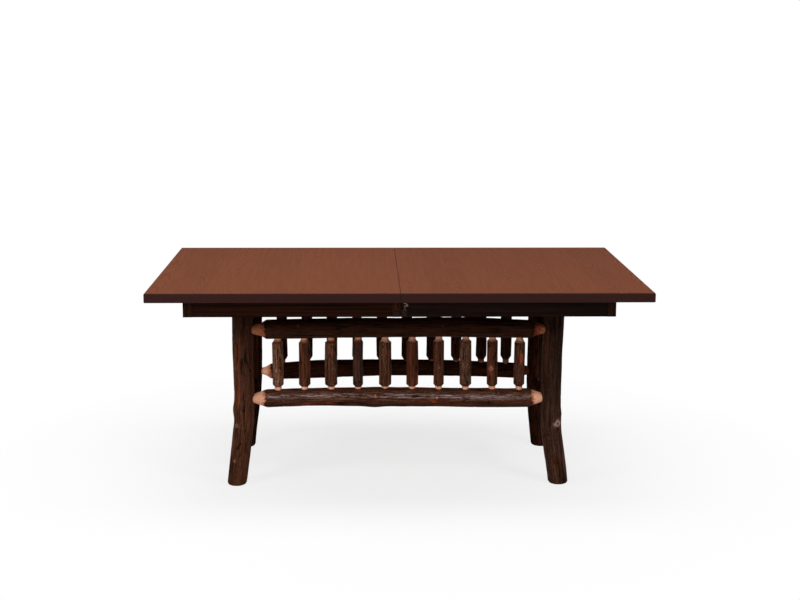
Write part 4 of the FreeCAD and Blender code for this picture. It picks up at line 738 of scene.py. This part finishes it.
# How thick the peeled wood still is beside the bark, at the low end and the high one.
RAIL_PEEL = {"front_bottom": (27.5, 26.5), "back_bottom": (29.0, 25.0)}
# One low end is whittled hollow: (mm past the even part, radius) pairs from the peeled wood to the tenon.
RAIL_WHITTLED = {"back_bottom": [(26.0, 22.5), (35.0, 17.5), (46.0, 13.5), (96.0, 13.5)]}


def rail_parts(key, axis, radius, shape):
    """The profile and the lift of a rail whose shape is (lift, share of the radius) at even places."""
    is_long = axis == "x"
    half, gap = (LONG_BARK, LEG_X) if is_long else (END_BARK, FRAME_Y)
    peel, tenon = (LONG_PEEL, LONG_TENON) if is_long else (END_PEEL, END_TENON)
    low_peel, high_peel = RAIL_PEEL.get(key, (peel, peel))
    places = np.linspace(-half, half, len(shape))
    lift = bend(places, [value for value, _ in shape])
    girth = bend(places, [share * radius for _, share in shape])
    inner = np.linspace(-half, half, EVEN_MARKS)
    tail = [(gap - LEG_RADIUS, tenon), (gap + TENON_PAST, tenon)]
    low_tail = [(half + way, size) for way, size in RAIL_WHITTLED.get(key, ())] or tail
    profile = [(-place, size) for place, size in reversed([(half + RAIL_BEVEL, low_peel)] + low_tail)]
    profile += [*zip(inner, girth(inner)), (half + RAIL_BEVEL, high_peel), *tail]
    return profile, lift, half


def rail_path(axis, offset, height, lift):
    """Centre of the rail at place s along it: a straight line at its height plus its lift."""
    def centre(s):
        level = height + lift(s)
        fixed = np.full_like(s, offset)
        return np.stack([s, fixed, level] if axis == "x" else [fixed, s, level], -1)
    return centre


for number, (key, (axis, offset, height, radius, shape)) in enumerate(RAILS.items()):
    profile, lift, half = rail_parts(key, axis, radius, shape)
    rail_skin = Skin()
    covered = half + BARK_PAST
    add_pole(rail_skin, axis, profile, (-covered, covered), rail_path(axis, offset, height, lift),
             RAIL_SEED + number, around=128 if axis == "x" else 112, step=2.5, depth=1.8, ridge=5.0,
             fade=3.0, edge=5.0, outside=RAIL_PAINTED_LIGHT[key.split("_")[0]], **END_LOOKS | RAIL_LOOKS[key])
    finish = hickory if "front" in key else dull_hickory
    rail_skin.make(f"rail_{key}", finish, "base")

# %% [markdown]
# ## The spindles
# Short sticks stand between the rails: ten at the front, ten at the back, three at each end. No two have
# the same bark, and in the photograph some are smooth and red, some rough and grey. Each gets its own
# seed, depth and tint. The bark ends in a dark chamfer below and a peeled, reddish taper above.

# %% Spindles
SPINDLE_RADIUS, SPINDLE_TENON, SPINDLE_SHOULDER, SPINDLE_BEVEL = 20.5, 12.5, 18.0, 1.5
# The bark leaves the foot of the chamfer bare and covers part of the bevel.
CHAMFER_BARE, BEVEL_COVERED = 1.0, 1.2
STICK_ROWS = {
    # pitch, ends of the tenons, ends of the bark, height of the chamfer and of the taper
    "front": (97.5, (329.8, 565.7), (372.0, 527.5), 8.0, 12.0),
    "back": (98.7, (321.3, 566.7), (371.5, 532.5), 14.0, 8.0),
    "end": (98.75, (283.8, 519.7), (323.0, 486.5), 8.0, 12.0),
}
FRONT_SEED, BACK_SEED, END_SEED, BACK_TINT_SEED, END_TINT_SEED = 51, 71, 91, 300, 330
FRONT_STICKS = (
    # girth, bark depth, ridge width, (red, grey, light), red stain above, bark higher, shift along X
    (1.00, 1.4, 4.5, (0.00, 1.0, 1.28), 1.1, -1.0, 0.0),
    (1.02, 0.6, 5.0, (0.50, 0.1, 1.20), 0.9, -0.5, -0.5),
    (1.10, 1.5, 4.5, (0.30, 0.6, 0.92), 1.5, 0.5, -1.0),
    (0.91, 0.7, 5.0, (-0.35, 0.1, 0.84), 1.4, 1.5, -0.5),
    (1.08, 1.5, 5.0, (0.30, 0.6, 0.95), 0.4, 2.0, 0.3),
    (1.04, 0.6, 6.0, (0.90, 0.0, 1.00), 0.5, 3.0, 1.5),
    (0.96, 1.2, 5.0, (0.40, 0.3, 0.88), 0.4, 4.5, 1.0),
    (1.02, 1.5, 4.5, (-0.15, 0.9, 0.93), 0.6, 4.5, 1.5),
    (0.95, 1.0, 5.0, (0.50, 0.3, 0.83), 0.5, 4.5, 1.5),
    (0.97, 1.2, 4.5, (0.20, 0.5, 0.78), 0.7, -1.5, 3.5),
)
STICK_PATCHES = {
    3: ((500, -1.5, 14, 10, 0.6),), 9: ((412, -1.8, 14, 9, 0.7),), 10: ((472, -1.25, 20, 8, 2.6),),
}
STICK_KNOTS = {
    5: ((500, -1.0, 12, 2.5, 0.0),), 7: ((436, -1.5, 5, 0.8, 0.4),),
    9: ((432, -1.9, 15, 1.4, 0.75),), 10: ((470, -1.0, 14, 1.2, 0.0),),
}
BACK_GIRTHS, BACK_SHIFT = (1, 1.02, 1, .92, 1, 1, 1.02, 1.03, 1, 1.03), -5
END_GIRTHS = (.97, .94, .99)


def stick(skin, row, number, count, middle, girth, seed, depth, ridge, colour, higher=0.0, **looks):
    """Adds an upright stick of a row: tenon, dark chamfer, bark, bevel, peeled taper and tenon.

    The sticks of a row stand at an even pitch about its middle, along X or, at the ends, along Y. Each one
    leans off its line by a half wave, at most 1.2 mm each way.
    """
    pitch, (low_end, high_end), (bark_low, bark_high), chamfer, taper = STICK_ROWS[row]
    off = pitch * (number - (count - 1) / 2)
    x, y = (middle[0], middle[1] + off) if row == "end" else (middle[0] + off, middle[1])
    bark_high, taper = bark_high + higher, taper - higher
    bark_radius = SPINDLE_RADIUS * girth
    profile = (
        (low_end, SPINDLE_TENON), (bark_low - chamfer, SPINDLE_TENON), (bark_low, bark_radius),
        (bark_high, bark_radius), (bark_high + SPINDLE_BEVEL, SPINDLE_SHOULDER),
        (bark_high + taper, SPINDLE_TENON), (high_end, SPINDLE_TENON),
    )
    lean = np.random.default_rng(seed).uniform(-1.2, 1.2, 2)

    def centre(z):
        share = np.sin(np.pi * np.clip((z - bark_low) / (bark_high - bark_low), 0, 1))
        return np.stack([x + lean[0] * share, y + lean[1] * share, z], -1)

    span = bark_low - chamfer + CHAMFER_BARE, bark_high + BEVEL_COVERED
    add_pole(skin, "z", profile, span, centre, seed, around=64, step=2.0, depth=depth, ridge=ridge,
             colour=colour, fade=1.6, edge=0.8, slant=((1.0, lean[0] * 3), (1.2, lean[1] * 3)), **looks)


# The bare ends of the front sticks are painted lighter below and darker above, as painted light and shade.
for index, (girth, depth, ridge, colour, red, higher, shift) in enumerate(FRONT_STICKS):
    front_skin = Skin()
    stick(front_skin, "front", index, len(FRONT_STICKS), (shift, -FRAME_Y), girth, FRONT_SEED + index,
          depth, ridge, colour, higher, flush=(0.3, red), redness=(9.0, 13.0), wood=(1.25, 0.76),
          knots=STICK_KNOTS.get(index + 1, ()), patches=STICK_PATCHES.get(index + 1, ()))
    front_skin.make(f"spindle_front_{index + 1:02d}", hickory, "base")

# The back sticks are painted dark, as shade under the table, and lighter on the side that faces out, as
# painted light.
back_skin = Skin()
for index, girth in enumerate(BACK_GIRTHS):
    vary = np.random.default_rng(BACK_TINT_SEED + index).uniform(0, 1, 4)
    colour = 0.5 * vary[1], 0.2 * vary[2], 0.4 + 0.15 * vary[3]
    stick(back_skin, "back", index, len(BACK_GIRTHS), (BACK_SHIFT, FRAME_Y), girth, BACK_SEED + index,
          0.9 + vary[0], 6.0, colour, flush=(0.9, 0.9), redness=(40.0, 20.0), outside=(np.pi / 2, 1.0))
back_skin.make("spindles_back", dull_hickory, "base")

# The end sticks and their bare ends are painted dark, as shade under the top, and a little lighter on the
# side that faces out, as painted light.
for side_name, side in (("left", -1), ("right", 1)):
    end_skin = Skin()
    for index, girth in enumerate(END_GIRTHS):
        vary = np.random.default_rng(END_TINT_SEED + index + 5 * side).uniform(0, 1, 4)
        colour = 0.6 * vary[1], 0.3 * vary[2], 0.6 + 0.2 * vary[3]
        stick(end_skin, "end", index, len(END_GIRTHS), (LEG_X * side, 0.0), girth,
              END_SEED + index + 4 * side, 1.0 + vary[0], 6.0, colour, flush=(0.95, 0.95),
              redness=(60.0, 40.0), wood=(0.5, 0.5), outside=(0.0 if side > 0 else np.pi, 0.4))
    end_skin.make(f"spindles_{side_name}", dull_hickory, "base")

# %% [markdown]
# ## The stained top
# The top is glued from boards that run front to back. Each board was cut from a different plank, so its
# tone differs a little, and the boards of the right half are darker than those of the left. The grain shows
# as nested arches where the saw crossed the tree's cone of growth rings. The ring pattern is the distance
# from the heart of the tree, which lies under the board and climbs along it. The stain is red brown under
# satin lacquer. All upright faces round the top are painted much darker: on the front and back edges this
# is partly end grain, which takes the stain darker, and partly painted shade; on the ends and at the seam
# it is painted shade.

# %% Top boards
TOP_BOARDS = (
    # left edge mm, tone, heart across mm, depth of the heart mm, climb per mm along
    (-875, 0.96, -850, 60, 0.03), (-781, 0.92, -710, 45, 0.08), (-668, 0.97, -592, 40, -0.07),
    (-556, 0.95, -620, 60, 0.04), (-492, 0.93, -560, 40, 0.06), (-374, 0.97, -297, 42, -0.08),
    (-245, 0.95, -300, 60, 0.03), (-112, 0.93, -50, 55, 0.10),
    (0, 0.90, 24, 35, -0.09), (96, 0.85, 200, 40, 0.07), (240, 0.89, 130, 60, 0.04),
    (330, 0.87, 407, 50, 0.09), (470, 0.86, 541, 45, -0.08), (600, 0.89, 500, 60, 0.03),
    (690, 0.84, 735, 42, -0.07), (790, 0.87, 870, 55, 0.04),
)
# The top's half length, the width of a growth ring and how far the rings wander, all in mm.
TOP_REACH, RING, WANDER = 875.0, 5.2, 22.0
# A Color Ramp holds values from 0 to 1. It gets each fact as a share of its whole range.
DARKEST, DEEPEST, STEEPEST = 0.5, 100.0, 0.2
print("Boards in the top:", len(TOP_BOARDS))


# %% Growth rings and stain
def board_facts(tree, x):
    """The tone of the board at each place along the top, and its heart's place, depth and climb."""
    reach = TOP_REACH * MM
    along = add_node(tree, "MapRange", {"Value": x, "From Min": -reach, "From Max": reach})
    stops = []
    for edge, tone, heart, depth, climb in TOP_BOARDS:
        start, place = ((value + TOP_REACH) / (2 * TOP_REACH) for value in (edge, heart))
        stops.append((start, (tone - DARKEST, place, depth / DEEPEST, climb / (2 * STEEPEST) + 0.5)))
    boards = set_steps(add_node(tree, "ValToRGB", {0: along}), stops)
    tone, heart, depth = add_node(tree, "SeparateColor", {0: boards}).outputs
    unpacked = ((tone, 1.0, DARKEST), (heart, 2 * reach, -reach), (depth, DEEPEST * MM, 0.0),
                (boards.outputs["Alpha"], 2 * STEEPEST, -STEEPEST))
    return [add_node(tree, "Math", {0: share, 1: whole, 2: lowest}, operation="MULTIPLY_ADD")
            for share, whole, lowest in unpacked]


def ring_share(tree, place, x, y, heart, depth, climb):
    """How far each point is from one growth ring to the next, from 0 to 1.

    The distance from the heart is sqrt(across^2 + depth^2). The climb times the way along the board and a
    slow wander are added to it, and the share is what is left over after whole rings.
    """
    across = add_node(tree, "Math", {0: x, 1: heart}, operation="SUBTRACT")
    from_heart = add_node(tree, "CombineXYZ", {0: across, 1: depth})
    distance = add_node(tree, "VectorMath", {0: from_heart}, operation="LENGTH").outputs["Value"]
    bowed = add_node(tree, "Math", {0: y, 1: climb, 2: distance}, operation="MULTIPLY_ADD")
    wander = scaled_noise(tree, place, (60, 260, 60))
    bowed = add_node(tree, "Math", {0: wander, 1: WANDER * MM, 2: bowed}, operation="MULTIPLY_ADD")
    rings = add_node(tree, "Math", {0: bowed, 1: RING * MM}, operation="DIVIDE")
    return add_node(tree, "Math", {0: rings}, operation="FRACT")


def top_material():
    """Red brown stained oak in boards along Y, with growth rings cut flat."""
    material, tree, shader = new_material("stained_oak_boards_satin_lacquer")
    coordinates = add_node(tree, "TexCoord").outputs
    place = coordinates["Object"]
    x, y, _ = add_node(tree, "SeparateXYZ", {0: place}).outputs
    tone, heart, depth, climb = board_facts(tree, x)
    growth = ring_share(tree, place, x, y, heart, depth, climb)
    streak = scaled_noise(tree, place, (1.1, 30, 8))
    broad = scaled_noise(tree, place, (9, 240, 20))
    pores = shown(tree, growth, 0.0, 0.55, 1.0, 0.0, times=[shown(tree, streak, 0.3, 0.7, 0.55, 1.0)])
    dark = add_node(tree, "Math", {0: pores, 1: 0.48}, operation="MULTIPLY")
    colour = lay(tree, "#6e3d28", [(shown(tree, broad, 0.3, 0.7), "#74422c"), (dark, "#4f2413")])
    toned = add_node(tree, "VectorMath", {0: colour, "Scale": tone}, operation="SCALE")
    # Upright faces take a dark colour: on the front and back edges partly end grain and partly painted
    # shade, elsewhere painted shade.
    facing = add_node(tree, "SeparateXYZ", {0: coordinates["Normal"]}).outputs[2]
    up, down = shown(tree, facing, 0.72, 0.97), shown(tree, facing, -0.93, -0.99)
    flat = add_node(tree, "Math", {0: up, 1: down}, operation="MAXIMUM")
    shallow = add_node(tree, "Bump", {"Height": pores, "Distance": 0.15 * MM, "Strength": 0.5}, invert=True)
    fill(tree, shader, {"Base Color": lay(tree, "#36201d", [(flat, toned)]), "Roughness": 0.7, "IOR": 1.5,
                        "Specular IOR Level": 0.02, "Normal": shallow})
    return material


# %% [markdown]
# ## Plain wood with grain along one way
# Aprons, posts, slides, bearers and dowels are all straight-grained wood. They differ only in the way the
# grain runs and in their two tones, so one function makes them all: fine fibres and broader streaks, both
# noise stretched along the grain.

# %% Straight-grained wood
def grained_wood(name, grain, light_tone, dark_tone, roughness):
    """Wood whose streaks run along one axis. Fibres are 1.2 mm wide and streaks 7 mm wide."""
    material, tree, shader = new_material(name)
    place = add_node(tree, "TexCoord").outputs["Object"]
    fibre_size = [45 if way == grain else 1.2 for way in "xyz"]
    streak_size = [320 if way == grain else 7 for way in "xyz"]
    fibre = scaled_noise(tree, place, fibre_size, detail=3.0, roughness=0.6)
    streak = scaled_noise(tree, place, streak_size)
    tone = lay(tree, dark_tone, [(shown(tree, streak, 0.3, 0.7), light_tone),
                                 (shown(tree, fibre, 0.45, 0.75, 0.0, 0.55), dark_tone)])
    pores = add_node(tree, "Bump", {"Height": fibre, "Distance": 0.2 * MM, "Strength": 0.5})
    fill(tree, shader, {"Base Color": tone, "Roughness": roughness, "IOR": 1.5,
                        "Specular IOR Level": 0.03, "Normal": pores})
    return material


# %% [markdown]
# ## Metal
# The gears and lock parts are plated steel. Brushing leaves fine lines and small changes of gloss, so the
# roughness and the bump follow stretched noise, and the colour stays plain, but for a painted glint on the
# top of the lock hook.

# %% Plated steel
def plated_steel(name, light_tone, dark_tone, roughness, painted_sheen=None):
    """Plated steel with 0.8 mm brush lines, drawn coarser than real so that they show.

    The last argument gives the colour of a painted glint on the upper part,
    and the two heights in m between which it starts.
    """
    material, tree, shader = new_material(name)
    place = add_node(tree, "TexCoord").outputs["Object"]
    lines = scaled_noise(tree, place, (12, 12, 0.8))
    spots = scaled_noise(tree, place, (6, 6, 6), detail=3.0)
    layers = [(shown(tree, spots, 0.35, 0.65), light_tone)]
    # A painted glint: the colour turns lighter above a height.
    if painted_sheen is not None:
        height = add_node(tree, "SeparateXYZ", {0: place}).outputs[2]
        layers.append((shown(tree, height, painted_sheen[1], painted_sheen[2]), painted_sheen[0]))
    gloss = shown(tree, spots, 0.3, 0.7, roughness - 0.07, roughness + 0.07)
    dents = add_node(tree, "Bump", {"Height": lines, "Distance": 0.1 * MM, "Strength": 0.4})
    fill(tree, shader, {"Base Color": lay(tree, dark_tone, layers), "Metallic": 1.0, "Roughness": gloss,
                        "Normal": dents})
    return material


# %% [markdown]
# ## Finishes on the cabinet work
# The CAD nodes that stay get their finish by name. Each name starts with what the piece is, so a short
# table from name to material covers them all, and the grain runs the way each board was cut.

# %% Assign finishes
# The aprons, end aprons, corner posts and seam blocks are nearly black: partly dark stain and partly
# painted shade from the overhanging top. The right front apron is painted darker and greyer still, as
# painted shade, and the left seam blocks are redder and lighter than the right ones. The slides and
# dowels stayed pale, because they don't show while the table is closed.
FINISHES = (
    # how the names of the nodes start, and the finish; the first row that fits a name holds
    ("top_", top_material()),
    ("apron_end", grained_wood("dark_stained_oak_with_painted_shade_grain_along_end", "y", "#2a1208", "#110502", 0.5)),
    # Painted shade, deeper than on the other aprons.
    ("apron_front_right", grained_wood("dark_stained_oak_with_deeper_painted_shade_apron", "x", "#21120d", "#110806", 0.5)),
    ("apron_", grained_wood("dark_stained_oak_with_painted_shade_grain_along_apron", "x", "#2b1107", "#130501", 0.5)),
    (("corner_posts", "seam_blocks_right"),
     grained_wood("dark_stained_oak_with_painted_shade_upright_grain", "z", "#30170d", "#150804", 0.5)),
    ("seam_blocks_left",
     grained_wood("red_brown_stained_oak_with_painted_shade_upright_grain", "z", "#4a220f", "#1e0c05", 0.5)),
    ("cross_bearer", grained_wood("planed_maple_bearer", "y", "#bf976b", "#9d744c", 0.55)),
    (("slide_centre", "slide_runner"), grained_wood("planed_maple_slide", "x", "#c9a277", "#a97f56", 0.5)),
    (("seam_dowels", "stop_pins"), grained_wood("turned_birch_dowel", "x", "#e0c59b", "#c9a877", 0.5)),
    (("slide_racks", "slide_pinion"), plated_steel("zinc_plated_steel", "#c4c4c6", "#a2a3a6", 0.35)),
    (("pinion_pins", "base_screws"), plated_steel("plain_steel_screw", "#9c9993", "#7d7a74", 0.4)),
    ("hook_", plated_steel("bronzed_steel", "#2c1f18", "#1b120d", 0.45)),
    # The top of the lock hook is painted lighter, as a painted glint.
    ("lock_hook", plated_steel("dull_zinc_steel_painted_glint_at_the_beak", "#3a322d", "#282220", 0.45,
                               painted_sheen=("#6a5c51", 0.703, 0.709))),
    ("screws_", plated_steel("phosphated_steel_screw", "#35291f", "#221914", 0.45)),
)
dressed = 0
for name, node in nodes.items():
    finish = next((material for start, material in FINISHES if name.startswith(start)), None)
    if finish is None:
        continue
    for slot in node.material_slots:
        slot.material = finish
    dressed += 1
print("CAD nodes dressed:", dressed, "of", len(nodes))
